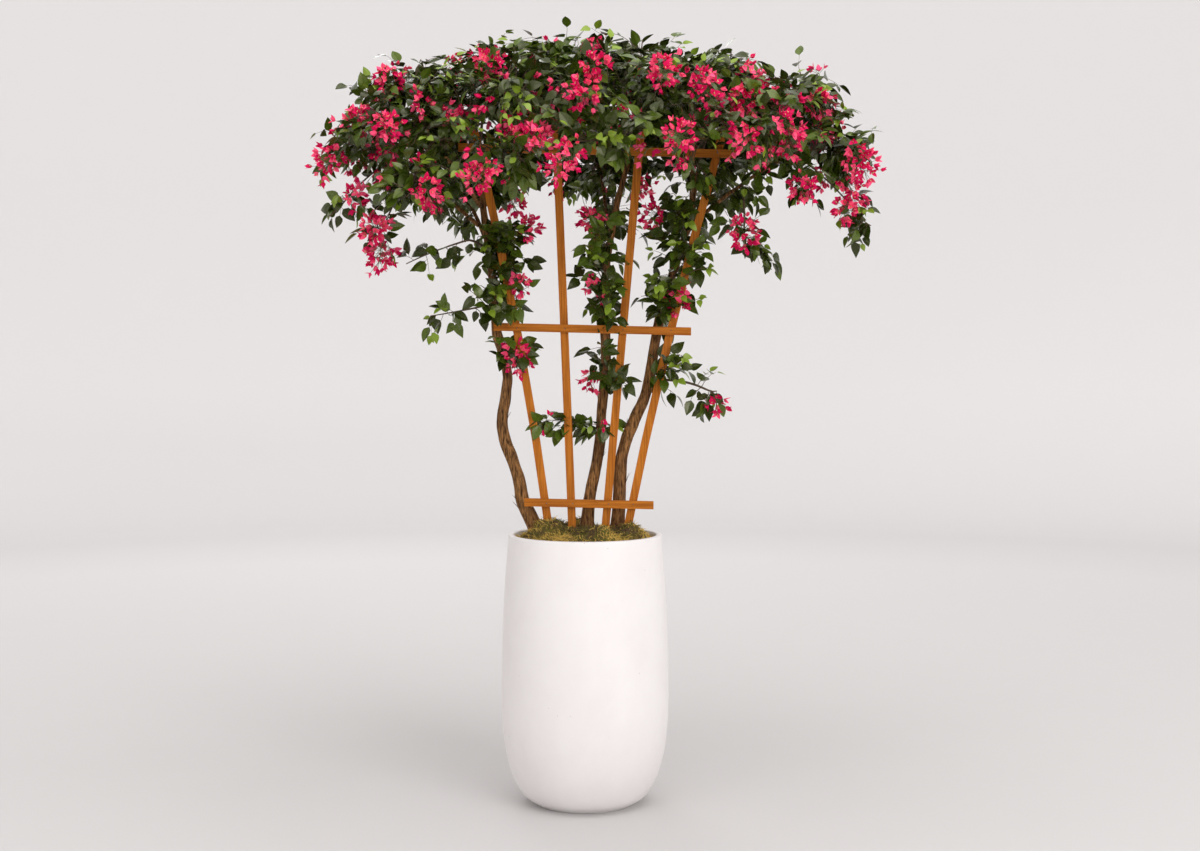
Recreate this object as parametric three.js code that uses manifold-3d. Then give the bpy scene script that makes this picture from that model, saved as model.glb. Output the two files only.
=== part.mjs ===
// Artificial bougainvillea on a fan trellis in a tall planter.
// Three real-wood stems stand behind a slatted fan, fork into boughs and carry a wide crown of
// foliage that weeps at its edges. Each mass of foliage is a closed, uneven solid, cut clear of the
// limbs and slats that run through it.
// Millimetres, +Z up. The origin is the centre of the planter's flat underside and the front is -Y.

import * as THREE from "three";
import { mergeVertices } from "three/addons/utils/BufferGeometryUtils.js";
import Module from "manifold-3d";

const GAP = 0.3;
const CUT_CLEARANCE = 0.5;

// Planter: a slim barrel with a rounded shoulder at its foot.
const POT_HEIGHT = 743;
const POT_FOOT_RADIUS = 140;
const POT_WIDEST_RADIUS = 231;
const POT_WIDEST_HEIGHT = 290;
const POT_RIM_RADIUS = 211;
const POT_WALL = 15;
const POT_FLOOR = 22;
const POT_SIDES = 24;
const RIM_ROUND = 4;
const WALL_STEPS = [6, 4];
const FILL_STEPS = [3, 2];

// Potting fill and the moss that dresses it.
const FILL_TOP = 716;
const FILL_CLEARANCE = 1;
const MOSS_EDGE_HEIGHT = 733;
const MOSS_CROWN_HEIGHT = 764;
const MOSS_RINGS = 4;
const MOSS_SIDES = 14;
const MOSS_UNEVENNESS = 7;

// Fan trellis: four staves with three rails nailed across their front.
const SLAT_WIDTH = 22;
const SLAT_THICKNESS = 10;
const STAVE_BACK = 0;
const STAVE_TOP = 1850;
const STAVE_STEPS = 4;
const RAIL_SLOPE = -0.024;

// Each stave's sideways place at the fill, at the middle rail and at its top.
const STAVES = [
  { name: "stave_1", foot: -94, middle: -187, top: -303 },
  { name: "stave_2", foot: -34, middle: -57, top: -79 },
  { name: "stave_3", foot: 52, middle: 104, top: 153 },
  { name: "stave_4", foot: 108, middle: 236, top: 379 },
];
const STAVE_MIDDLE = 1306;
const RAIL_BACK = STAVE_BACK - SLAT_THICKNESS - GAP;
const LEVEL = new THREE.Vector2(1, 0);
const UPRIGHT = new THREE.Vector2(0, -1);

const RAILS = [
  { name: "rail_lower", left: -167, right: 188, height: 827 },
  { name: "rail_middle", left: -250, right: 290, height: 1306 },
  { name: "rail_upper", left: -345, right: 412, height: 1791 },
];

// Stems: girth at the foot and tip, and the bends between, each [sideways, depth, height].
const STEM_SIDES = 8;
const STEM_STEP = 60;
const FLARE_WIDTH = 0.45;
const FLARE_HEIGHT = 34;
const STEMS = [
  {
    name: "stem_left",
    footRadius: 17,
    tipRadius: 7,
    bends: [
      [-122, 32, FILL_TOP], [-147, 32, 778], [-178, 33, 838], [-185, 34, 898], [-232, 36, 1035],
      [-219, 37, 1125], [-215, 38, 1195], [-243, 40, 1290], [-250, 44, 1400], [-267, 50, 1520],
      [-281, 56, 1630], [-297, 64, 1780],
    ],
  },
  {
    name: "stem_centre",
    footRadius: 15.5,
    tipRadius: 6,
    bends: [
      [3, 34, FILL_TOP], [8, 34, 800], [19, 35, 880], [40, 36, 975], [45, 37, 1080],
      [57, 38, 1200], [55, 38, 1310], [51, 40, 1400], [69, 44, 1550], [98, 50, 1695], [124, 54, 1785],
    ],
  },
  {
    name: "stem_right",
    footRadius: 17,
    tipRadius: 7,
    bends: [
      [86, 33, FILL_TOP], [93, 33, 815], [102, 34, 960], [127, 36, 1038], [165, 38, 1114],
      [184, 39, 1205], [206, 41, 1340], [245, 46, 1468], [280, 52, 1575], [300, 58, 1680],
      [314, 64, 1765],
    ],
  },
];

// Boughs: each leaves its stem at a height and runs out to the mass that it enters.
const BOUGH_FOOT_RADIUS = 8;
const BOUGH_TIP_RADIUS = 4.5;
const BOUGH_SIDES = 6;
const BOUGH_STEP = 130;
const BOUGH_SAG = 34;
const BOUGHS = [
  { name: "bough_left_out", stem: "stem_left", leaves: 1575, end: [-545, 30, 1765] },
  { name: "bough_left_front", stem: "stem_left", leaves: 1630, end: [-400, -215, 1790] },
  { name: "bough_left_back", stem: "stem_left", leaves: 1540, end: [-395, 300, 1775] },
  { name: "bough_centre_back", stem: "stem_centre", leaves: 1540, end: [40, 310, 1790] },
  { name: "bough_right_out", stem: "stem_right", leaves: 1585, end: [575, 20, 1790] },
  { name: "bough_right_front", stem: "stem_right", leaves: 1640, end: [285, -220, 1800] },
  { name: "bough_right_back", stem: "stem_right", leaves: 1550, end: [410, 300, 1785] },
];

// Rows of masses that make the domed crown, from its ridge down to its front and back edges.
const CROWN_ROWS = [
  {
    name: "ridge", count: 6, from: -480, to: 590, depth: 10, height: 2016, droop: 62, lean: -22,
    reach: [142, 175, 125],
  },
  {
    name: "front_upper", count: 5, from: -430, to: 455, depth: -270, height: 1903, droop: 40, lean: 5,
    reach: [145, 150, 120],
  },
  {
    name: "front_lower", count: 5, from: -420, to: 450, depth: -405, height: 1768, droop: 30, lean: 58,
    reach: [125, 125, 92],
  },
  {
    name: "back_upper", count: 4, from: -400, to: 430, depth: 290, height: 1905, droop: 35, lean: 5,
    reach: [172, 162, 130], detail: 1,
  },
  {
    name: "back_lower", count: 3, from: -350, to: 375, depth: 430, height: 1790, droop: 20, lean: 45,
    reach: [205, 126, 102], detail: 1,
  },
];

// Masses outside the rows. lean is the angle in degrees by which a mass's long side turns
// from the level towards the ground on the right.
const SINGLE_MASSES = [
  { name: "left_shoulder", centre: [-635, 10, 1812], reach: [124, 220, 114], lean: 0, detail: 1 },
  { name: "left_tip", centre: [-660, -40, 1640], reach: [95, 110, 76], lean: -12, detail: 1 },
  { name: "left_hang", centre: [-540, -90, 1572], reach: [72, 66, 60], lean: 0, detail: 1 },
  { name: "right_shoulder", centre: [712, 10, 1790], reach: [88, 210, 118], lean: 0, detail: 1 },
  { name: "right_tip", centre: [745, -20, 1618], reach: [44, 100, 92], lean: 0, detail: 1 },
  { name: "right_hang", centre: [585, -60, 1716], reach: [58, 90, 92], lean: 0, detail: 1 },
  { name: "left_sleeve", centre: [-228, 30, 1488], reach: [112, 84, 190], lean: 10, detail: 1 },
  { name: "left_clump", centre: [-190, 20, 1262], reach: [80, 60, 58], lean: 0, detail: 1 },
  { name: "centre_sleeve", centre: [40, 36, 1505], reach: [86, 70, 200], lean: 0, detail: 1 },
  { name: "centre_clump", centre: [45, 30, 1215], reach: [64, 52, 88], lean: 0, detail: 1 },
  { name: "right_sleeve", centre: [238, 36, 1500], reach: [128, 84, 222], lean: 8, detail: 1 },
  { name: "right_clump", centre: [228, 24, 1215], reach: [98, 64, 84], lean: 0, detail: 1 },
  { name: "left_twig_upper", centre: [-400, -30, 1518], reach: [140, 38, 42], lean: -20, detail: 1 },
  { name: "left_twig_lower", centre: [-350, 0, 1358], reach: [115, 34, 52], lean: -12, detail: 1 },
  { name: "centre_twig", centre: [-45, 0, 1052], reach: [130, 40, 52], lean: 0, detail: 1 },
  { name: "right_twig_lower", centre: [335, -20, 1140], reach: [75, 28, 30], lean: 35, detail: 1 },
  { name: "right_twig_upper", centre: [428, -60, 1560], reach: [150, 66, 82], lean: 44, detail: 1 },
];
const MASS_DETAIL = 2;
const MASS_LUMPS = 7;
const LUMP_DEPTH = 0.36;
const LUMP_SHARPNESS = 4;
const ROW_SCATTER = 16;
const ROW_CURVE = 0.24;
const REACH_ALLOWANCE = 1.05;
const MASS_SEED = 4107;
const MASS_GAP = 3;

// Finishes: colour, roughness and metalness.
const CERAMIC_WHITE = [0xf1eeec, 0.75];
const FILL_BROWN = [0x4b3b2c, 0.95];
const MOSS_GREEN = [0x5d6128, 0.98];
const CEDAR = [0xb8722e, 0.6];
const BARK = [0x5a4532, 0.9];
const FOLIAGE = [0x35521f, 0.6];

const wasm = await Module();
wasm.setup();

const plant = new THREE.Group();
const cutters = [];
const stemCurves = new Map();
const stemCutters = new Map();

function seededRandom(seed) {
  let state = seed >>> 0;
  return () => {
    state = (state + 0x6d2b79f5) >>> 0;
    let mixed = Math.imul(state ^ (state >>> 15), state | 1);
    mixed ^= mixed + Math.imul(mixed ^ (mixed >>> 7), mixed | 61);
    return ((mixed ^ (mixed >>> 14)) >>> 0) / 4294967296;
  };
}

function weld(geometry) {
  geometry.deleteAttribute("normal");
  geometry.deleteAttribute("uv");
  return mergeVertices(geometry, 1e-4);
}

function toSolid(geometry) {
  const welded = weld(geometry);
  return new wasm.Manifold(
    new wasm.Mesh({
      numProp: 3,
      vertProperties: new Float32Array(welded.attributes.position.array),
      triVerts: new Uint32Array(welded.index.array),
    }),
  );
}

function toGeometry(solid) {
  const mesh = solid.getMesh();
  const geometry = new THREE.BufferGeometry();
  const points = new Float32Array(mesh.numVert * 3);
  for (let i = 0; i < mesh.numVert; i += 1) {
    for (let axis = 0; axis < 3; axis += 1) {
      points[i * 3 + axis] = mesh.vertProperties[i * mesh.numProp + axis];
    }
  }
  geometry.setAttribute("position", new THREE.BufferAttribute(points, 3));
  geometry.setIndex(new THREE.BufferAttribute(new Uint32Array(mesh.triVerts), 1));
  geometry.computeVertexNormals();
  return geometry;
}

function addPart(name, geometry, [color, roughness]) {
  const material = new THREE.MeshStandardMaterial({ color, roughness, metalness: 0 });
  const mesh = new THREE.Mesh(geometry, material);
  mesh.name = name;
  plant.add(mesh);
}

// Planter

function potWallCurves(inset, [shoulderSteps, sideSteps]) {
  const shoulder = new THREE.CubicBezierCurve(
    new THREE.Vector2(POT_FOOT_RADIUS - inset, 0),
    new THREE.Vector2(POT_FOOT_RADIUS + 60 - inset, 28),
    new THREE.Vector2(POT_WIDEST_RADIUS - inset, 130),
    new THREE.Vector2(POT_WIDEST_RADIUS - inset, POT_WIDEST_HEIGHT),
  );
  const side = new THREE.QuadraticBezierCurve(
    new THREE.Vector2(POT_WIDEST_RADIUS - inset, POT_WIDEST_HEIGHT),
    new THREE.Vector2(POT_WIDEST_RADIUS - inset, 520),
    new THREE.Vector2(POT_RIM_RADIUS - inset, POT_HEIGHT),
  );
  return [...shoulder.getPoints(shoulderSteps), ...side.getPoints(sideSteps).slice(1)];
}

function profileBetween(points, low, high) {
  const radiusAt = (height) => {
    const next = points.findIndex((p) => p.y >= height);
    const above = points[next];
    const below = points[Math.max(next - 1, 0)];
    const share = above === below ? 0 : (height - below.y) / (above.y - below.y);
    return below.x + (above.x - below.x) * share;
  };
  const inside = points.filter((p) => p.y > low + 1 && p.y < high - 1);
  return [
    new THREE.Vector2(radiusAt(low), low),
    ...inside,
    new THREE.Vector2(radiusAt(high), high),
  ];
}

function makePot() {
  const high = POT_HEIGHT - RIM_ROUND;
  const outside = profileBetween(potWallCurves(0, WALL_STEPS), 0, high);
  const inside = profileBetween(potWallCurves(POT_WALL, WALL_STEPS), POT_FLOOR, high);
  const outline = [
    new THREE.Vector2(0, 0),
    ...outside,
    new THREE.Vector2(POT_RIM_RADIUS - RIM_ROUND, POT_HEIGHT),
    new THREE.Vector2(POT_RIM_RADIUS - POT_WALL + RIM_ROUND, POT_HEIGHT),
    ...inside.reverse(),
    new THREE.Vector2(0, POT_FLOOR),
  ];
  const geometry = new THREE.LatheGeometry(outline, POT_SIDES);
  geometry.rotateX(Math.PI / 2);
  addPart("pot", weld(geometry), CERAMIC_WHITE);
}

function makeFill() {
  const low = POT_FLOOR + GAP;
  const wall = potWallCurves(POT_WALL + FILL_CLEARANCE, FILL_STEPS);
  const side = profileBetween(wall, low, FILL_TOP - GAP);
  const outline = [new THREE.Vector2(0, low), ...side, new THREE.Vector2(0, FILL_TOP - GAP)];
  const geometry = new THREE.LatheGeometry(outline, POT_SIDES);
  geometry.rotateX(Math.PI / 2);
  addPart("potting_fill", weld(geometry), FILL_BROWN);
}

function makeMoss() {
  const edge = POT_RIM_RADIUS - POT_WALL - 2;
  const outline = [new THREE.Vector2(0, FILL_TOP), new THREE.Vector2(edge, FILL_TOP)];
  for (let ring = 0; ring < MOSS_RINGS; ring += 1) {
    const outwards = 1 - ring / MOSS_RINGS;
    const rise = Math.cos((outwards * Math.PI) / 2);
    const height = MOSS_EDGE_HEIGHT + (MOSS_CROWN_HEIGHT - MOSS_EDGE_HEIGHT) * rise;
    outline.push(new THREE.Vector2(edge * outwards, height));
  }
  outline.push(new THREE.Vector2(0, MOSS_CROWN_HEIGHT));
  const geometry = weld(new THREE.LatheGeometry(outline, MOSS_SIDES).rotateX(Math.PI / 2));
  const random = seededRandom(MASS_SEED);
  const points = geometry.attributes.position;
  for (let i = 0; i < points.count; i += 1) {
    const bump = (random() - 0.5) * 2 * MOSS_UNEVENNESS;
    if (points.getZ(i) > MOSS_EDGE_HEIGHT + 1) {
      points.setZ(i, points.getZ(i) + bump);
    }
  }
  addPart("moss_bed", toGeometry(cutClear(toSolid(geometry))), MOSS_GREEN);
}

// Trellis

function lengthen(centres) {
  const [first, last] = [centres[0].clone(), centres[centres.length - 1].clone()];
  const along = last.clone().sub(first).setLength(CUT_CLEARANCE);
  return [first.sub(along), ...centres.slice(1, -1), last.add(along)];
}

function slatGeometry(centres, across, width, back, thickness) {
  // The ends are cut square to the frame: level on a stave and upright on a rail.
  const shape = new THREE.Shape();
  const offsets = centres.map((point, i) => {
    const before = centres[Math.max(i - 1, 0)];
    const after = centres[Math.min(i + 1, centres.length - 1)];
    const along = after.clone().sub(before).normalize();
    return across.clone().multiplyScalar(width / 2 / Math.abs(across.cross(along)));
  });
  const left = centres.map((point, i) => point.clone().add(offsets[i]));
  const right = centres.map((point, i) => point.clone().sub(offsets[i]));
  shape.setFromPoints([...right, ...left.reverse()]);
  const geometry = new THREE.ExtrudeGeometry(shape, { depth: thickness, bevelEnabled: false });
  // The outline lies in X and Z; its thickness runs forward from the back face.
  geometry.rotateX(Math.PI / 2);
  geometry.translate(0, back, 0);
  return geometry;
}

function staveCentres(stave) {
  const low = FILL_TOP;
  const high = STAVE_TOP;
  const share = (STAVE_MIDDLE - low) / (high - low);
  const straight = stave.foot + (stave.top - stave.foot) * share;
  const bow = (stave.middle - straight) / (4 * share * (1 - share));
  const centres = [];
  for (let step = 0; step <= STAVE_STEPS; step += 1) {
    const t = step / STAVE_STEPS;
    const x = stave.foot + (stave.top - stave.foot) * t + bow * 4 * t * (1 - t);
    centres.push(new THREE.Vector2(x, low + (high - low) * t));
  }
  return centres;
}

function railCentres(rail) {
  const middle = (rail.left + rail.right) / 2;
  return [rail.left, rail.right].map(
    (x) => new THREE.Vector2(x, rail.height + (x - middle) * RAIL_SLOPE),
  );
}

function makeTrellis() {
  const places = [
    ...STAVES.map((stave) => [stave.name, staveCentres(stave), LEVEL, STAVE_BACK]),
    ...RAILS.map((rail) => [rail.name, railCentres(rail), UPRIGHT, RAIL_BACK]),
  ];
  for (const [name, centres, across, back] of places) {
    const slat = slatGeometry(centres, across, SLAT_WIDTH, back, SLAT_THICKNESS);
    const wide = SLAT_WIDTH + 2 * CUT_CLEARANCE;
    const thick = SLAT_THICKNESS + 2 * CUT_CLEARANCE;
    const grown = slatGeometry(lengthen(centres), across, wide, back + CUT_CLEARANCE, thick);
    cutters.push(toSolid(grown));
    addPart(name, weld(slat), CEDAR);
  }
}

// Stems and boughs

function limbGeometry(curve, steps, sides, radiusAt, flatFoot) {
  // A closed cylinder is bent along the curve, so its ends stay capped.
  const geometry = weld(new THREE.CylinderGeometry(1, 1, 1, sides, steps));
  const frames = curve.computeFrenetFrames(steps);
  const points = geometry.attributes.position;
  for (let i = 0; i < points.count; i += 1) {
    const step = Math.round((points.getY(i) + 0.5) * steps);
    const t = step / steps;
    const centre = curve.getPointAt(t);
    const radius = radiusAt(t * curve.getLength());
    const place = centre
      .clone()
      .addScaledVector(frames.normals[step], points.getX(i) * radius)
      .addScaledVector(frames.binormals[step], -points.getZ(i) * radius);
    if (flatFoot && step === 0) {
      place.z = centre.z;
    }
    points.setXYZ(i, place.x, place.y, place.z);
  }
  return geometry;
}

function limb(curve, footRadius, tipRadius, sides, stepLength, flare) {
  const length = curve.getLength();
  const steps = Math.round(length / stepLength);
  const radiusAt = (along) => {
    const spread = 1 + flare * Math.exp(-along / FLARE_HEIGHT);
    return (footRadius + (tipRadius - footRadius) * (along / length)) * spread;
  };
  const grown = (along) => radiusAt(along) + CUT_CLEARANCE;
  return {
    solid: toSolid(limbGeometry(curve, steps, sides, radiusAt, flare > 0)),
    cutter: toSolid(limbGeometry(curve, steps, sides, grown, flare > 0)),
  };
}

function makeStems() {
  for (const stem of STEMS) {
    const curve = new THREE.CatmullRomCurve3(stem.bends.map((bend) => new THREE.Vector3(...bend)));
    const { footRadius, tipRadius, name } = stem;
    const made = limb(curve, footRadius, tipRadius, STEM_SIDES, STEM_STEP, FLARE_WIDTH);
    stemCurves.set(name, curve);
    stemCutters.set(name, made.cutter);
    cutters.push(made.cutter);
    addPart(name, toGeometry(made.solid), BARK);
  }
}

function pointAtHeight(curve, height) {
  let low = 0;
  let high = 1;
  while (high - low > 1e-4) {
    const middle = (low + high) / 2;
    if (curve.getPointAt(middle).z < height) {
      low = middle;
    } else {
      high = middle;
    }
  }
  return curve.getPointAt(low);
}

function makeBoughs() {
  for (const bough of BOUGHS) {
    const start = pointAtHeight(stemCurves.get(bough.stem), bough.leaves);
    const end = new THREE.Vector3(...bough.end);
    const middle = start.clone().lerp(end, 0.5);
    middle.z += BOUGH_SAG;
    const curve = new THREE.QuadraticBezierCurve3(start, middle, end);
    const made = limb(curve, BOUGH_FOOT_RADIUS, BOUGH_TIP_RADIUS, BOUGH_SIDES, BOUGH_STEP, 0);
    cutters.push(made.cutter);
    addPart(bough.name, toGeometry(made.solid.subtract(stemCutters.get(bough.stem))), BARK);
  }
}

// Foliage

function crownMasses() {
  // A row's ends curve in towards the ridge, and its masses are scattered off their even places.
  const random = seededRandom(MASS_SEED);
  const scatter = () => (random() - 0.5) * 2 * ROW_SCATTER;
  const masses = [];
  for (const row of CROWN_ROWS) {
    for (let i = 0; i < row.count; i += 1) {
      const across = (2 * i) / (row.count - 1) - 1;
      masses.push({
        name: `${row.name}_${i + 1}`,
        centre: [
          row.from + ((row.to - row.from) * i) / (row.count - 1) + scatter(),
          row.depth * (1 - ROW_CURVE * across * across) + scatter(),
          row.height - row.droop * across * across + row.lean * across + scatter() / 2,
        ],
        reach: row.reach,
        lean: 0,
        detail: row.detail,
      });
    }
  }
  return [...masses, ...SINGLE_MASSES];
}

function massFrame(mass) {
  const turn = new THREE.Matrix4().makeRotationY(THREE.MathUtils.degToRad(mass.lean));
  return {
    ...mass,
    middle: new THREE.Vector3(...mass.centre),
    size: new THREE.Vector3(...mass.reach).multiplyScalar(REACH_ALLOWANCE),
    turn,
    back: turn.clone().invert(),
  };
}

function radiusTowards(mass, direction) {
  const inside = direction.clone().applyMatrix4(mass.back).divide(mass.size);
  return 1 / inside.length();
}

function facesBetween(mass, others) {
  // The plane half-way through each overlap keeps two neighbouring masses apart.
  const faces = [];
  for (const other of others) {
    const normal = other.middle.clone().sub(mass.middle);
    const distance = normal.length();
    normal.normalize();
    const own = radiusTowards(mass, normal);
    const theirs = radiusTowards(other, normal);
    const nearEnough = distance < mass.size.length() + other.size.length();
    if (other.name !== mass.name && nearEnough) {
      faces.push({ normal, offset: (distance * own) / (own + theirs) - MASS_GAP / 2 });
    }
  }
  return faces;
}

function massGeometry(mass, others, index) {
  const random = seededRandom(MASS_SEED + index * 31);
  const lumps = [];
  for (let i = 0; i < MASS_LUMPS; i += 1) {
    const lump = new THREE.Vector3(random() - 0.5, random() - 0.5, random() - 0.5);
    lumps.push(lump.normalize());
  }
  const faces = facesBetween(mass, others);
  const geometry = weld(new THREE.IcosahedronGeometry(1, mass.detail ?? MASS_DETAIL));
  const points = geometry.attributes.position;
  for (let i = 0; i < points.count; i += 1) {
    const direction = new THREE.Vector3().fromBufferAttribute(points, i).normalize();
    const nearest = Math.max(...lumps.map((lump) => lump.dot(direction)));
    const bulge = 1 - LUMP_DEPTH + LUMP_DEPTH * Math.max(nearest, 0) ** LUMP_SHARPNESS;
    const arm = direction.multiply(mass.size).multiplyScalar(bulge).applyMatrix4(mass.turn);
    let share = 1;
    for (const face of faces) {
      const along = arm.dot(face.normal);
      if (along > face.offset) {
        share = Math.min(share, face.offset / along);
      }
    }
    arm.multiplyScalar(share).add(mass.middle);
    points.setXYZ(i, arm.x, arm.y, arm.z);
  }
  return geometry;
}

function largestPiece(solid) {
  const pieces = solid.decompose();
  return pieces.reduce((best, piece) => (piece.volume() > best.volume() ? piece : best));
}

function cutClear(solid) {
  const tools = cutters.filter((cutter) => !cutter.intersect(solid).isEmpty());
  return tools.reduce((left, tool) => left.subtract(tool), solid);
}

function makeFoliage() {
  const masses = crownMasses().map(massFrame);
  masses.forEach((mass, index) => {
    const whole = toSolid(massGeometry(mass, masses, index));
    addPart(mass.name, toGeometry(largestPiece(cutClear(whole))), FOLIAGE);
  });
}

makePot();
makeFill();
makeTrellis();
makeStems();
makeMoss();
makeBoughs();
makeFoliage();

export default plant;
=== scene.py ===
"""Builds an artificial bougainvillea on a fan trellis in a tall pot.

The packed model is the frame. Its pot, slats, stems, boughs and masses of foliage say where
everything is, and the pieces made here stand for them: a turned pot, a bed of moss, cedar slats,
stems with their bark, and twigs, leaves and bracts grown from the limbs into each mass.
"""

import math
import random

import bpy
import numpy as np
from bpy.props import FloatProperty, FloatVectorProperty, IntProperty, PointerProperty
from mathutils import Matrix, Vector, noise
from mathutils.bvhtree import BVHTree


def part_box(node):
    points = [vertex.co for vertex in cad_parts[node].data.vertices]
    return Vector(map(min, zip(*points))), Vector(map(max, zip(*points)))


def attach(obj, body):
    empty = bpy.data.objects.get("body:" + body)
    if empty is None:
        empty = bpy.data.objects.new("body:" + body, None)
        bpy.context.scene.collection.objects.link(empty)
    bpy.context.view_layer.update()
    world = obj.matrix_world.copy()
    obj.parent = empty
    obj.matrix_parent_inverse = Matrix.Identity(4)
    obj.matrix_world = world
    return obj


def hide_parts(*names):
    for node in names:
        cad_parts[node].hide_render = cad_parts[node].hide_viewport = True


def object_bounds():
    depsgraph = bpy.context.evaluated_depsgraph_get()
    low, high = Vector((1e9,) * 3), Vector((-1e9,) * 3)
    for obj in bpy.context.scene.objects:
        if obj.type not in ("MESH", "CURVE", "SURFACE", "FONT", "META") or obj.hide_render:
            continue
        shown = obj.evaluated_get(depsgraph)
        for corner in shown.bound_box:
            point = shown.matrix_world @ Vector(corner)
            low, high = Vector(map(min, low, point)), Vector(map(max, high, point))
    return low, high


bl_info = {
    "name": "Potted bougainvillea",
    "version": (1, 0, 0),
    "blender": (4, 5, 0),
    "location": "View3D > Sidebar > Bougainvillea",
    "description": "Builds an artificial bougainvillea on a fan trellis in a tall pot",
    "category": "Add Mesh",
}

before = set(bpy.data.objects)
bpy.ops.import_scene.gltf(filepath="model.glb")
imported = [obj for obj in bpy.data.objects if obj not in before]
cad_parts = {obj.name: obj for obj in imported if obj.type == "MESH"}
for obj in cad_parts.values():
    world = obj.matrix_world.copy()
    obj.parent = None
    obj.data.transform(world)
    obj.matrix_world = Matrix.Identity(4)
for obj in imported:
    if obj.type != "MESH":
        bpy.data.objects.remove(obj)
CAD_LOW, CAD_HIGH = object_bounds()

BODY = "root"
UP = Vector((0, 0, 1))
DOWN = -UP
GOLDEN_ANGLE = math.pi * (3 - math.sqrt(5))
MOST_TRIANGLES = 190_000
# A round limb that fills its faceted one is fuller than the flats of its facets.
FACET_EASE = 1.16
STEM_GIRTH = 0.0142
BOUGH_GIRTH = 0.72
TWIG_STEP = 0.014

STEMS = ("stem_left", "stem_centre", "stem_right")
BOUGHS = tuple(sorted(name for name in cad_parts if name.startswith("bough_")))
STAVES = tuple(sorted(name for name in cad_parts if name.startswith("stave_")))
RAILS = tuple(sorted(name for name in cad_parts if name.startswith("rail_")))
SOLID_NODES = {"pot", "potting_fill", "moss_bed", *STEMS, *BOUGHS, *STAVES, *RAILS}
MASSES = tuple(sorted(set(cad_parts) - SOLID_NODES))


# ---------------------------------------------------------------- settings


def length(name, description, default):
    """A size in metres that a user may change."""
    return FloatProperty(name=name, description=description, default=default, unit="LENGTH")


def share(name, description, default):
    """A plain number from 0 to 1."""
    return FloatProperty(
        name=name, description=description, default=default, min=0, max=1, subtype="FACTOR"
    )


def colour(name, description, default):
    """A linear colour."""
    return FloatVectorProperty(
        name=name, description=description, default=default, size=3, min=0, max=1, subtype="COLOR"
    )


def count(name, description, default):
    """A whole number."""
    return IntProperty(name=name, description=description, default=default, min=1)


class PotSettings(bpy.types.PropertyGroup):
    """The tall pot."""

    sides: count("Sides", "Facets round the pot", 160)
    rows: count("Rows", "Rings up each wall", 56)
    waviness: length("Waviness", "How far the hand-finished wall strays from round", 0.0006)
    white: colour("White", "Colour of the matte coat", (0.815, 0.783, 0.780))
    shade: colour("Shade", "Colour of its faint mottling", (0.78, 0.745, 0.74))


class MossSettings(bpy.types.PropertyGroup):
    """The dressing of moss."""

    lump: length("Lump", "Height of the moss's cushions", 0.019)
    strands: count("Strands", "Loose blades of moss", 11000)
    strand: length("Strand", "Length of a blade", 0.014)
    green: colour("Green", "Living green", (0.125, 0.112, 0.012))
    golden: colour("Golden", "Golden olive at the edge", (0.60, 0.39, 0.080))
    brown: colour("Brown", "Dry brown", (0.085, 0.045, 0.018))


class TrellisSettings(bpy.types.PropertyGroup):
    """The fan trellis."""

    edge: length("Edge", "Width of the eased edges of a slat", 0.0012)
    nail: length("Nail", "Radius of a nail's head", 0.0021)
    pale: colour("Pale", "Pale cedar", (0.50, 0.160, 0.010))
    dark: colour("Dark", "Dark cedar grain", (0.25, 0.066, 0.005))


class StemSettings(bpy.types.PropertyGroup):
    """The stems and boughs."""

    ring: length("Ring", "Distance between the rings of a stem", 0.004)
    sides: count("Sides", "Facets round a stem", 40)
    furrow: length("Furrow", "Depth of the furrows in the bark", 0.0020)
    pale: colour("Pale", "Pale ridges of the bark", (0.36, 0.170, 0.054))
    dark: colour("Dark", "Dark furrows of the bark", (0.034, 0.014, 0.004))


class FoliageSettings(bpy.types.PropertyGroup):
    """The twigs and leaves."""

    seed: count("Seed", "Start of every random draw", 7)
    spacing: length("Spacing", "Distance between the sprays of a mass", 0.0555)
    leaf: length("Leaf", "Length of a grown leaf", 0.045)
    young_leaf: length("Young leaf", "Length of a young leaf", 0.030)
    leaf_step: length("Leaf step", "Distance between leaves along a spray", 0.0180)
    young_share: share("Young share", "Share of sprays with young leaves at their tips", 0.36)
    stray_share: share("Stray share", "Share of sprays that stray out of their mass", 0.07)
    dark: colour("Dark", "Grown leaf in the crown", (0.027, 0.041, 0.004))
    middle: colour("Middle", "Grown leaf at the crown's edge", (0.069, 0.109, 0.009))
    young: colour("Young", "Young yellow-green leaf", (0.185, 0.275, 0.020))
    twig: colour("Twig", "Bark of the twigs", (0.10, 0.062, 0.034))


class BlossomSettings(bpy.types.PropertyGroup):
    """The heads of bracts."""

    bract: length("Bract", "Length of a bract", 0.0190)
    triads: count("Triads", "Groups of three bracts in a head of common size", 35)
    deep: colour("Deep", "Deep crimson pink", (0.66, 0.004, 0.092))
    # The bright coral pink is a painted highlight: a lighter copy of the bract colour that stands for
    # bracts catching the light.
    bright: colour("Bright", "Bright coral pink", (0.96, 0.095, 0.220))
    floret: colour("Floret", "Cream of the small flowers", (0.72, 0.62, 0.30))
    stalk: colour("Stalk", "Green of the flower stalks", (0.085, 0.12, 0.030))


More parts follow.
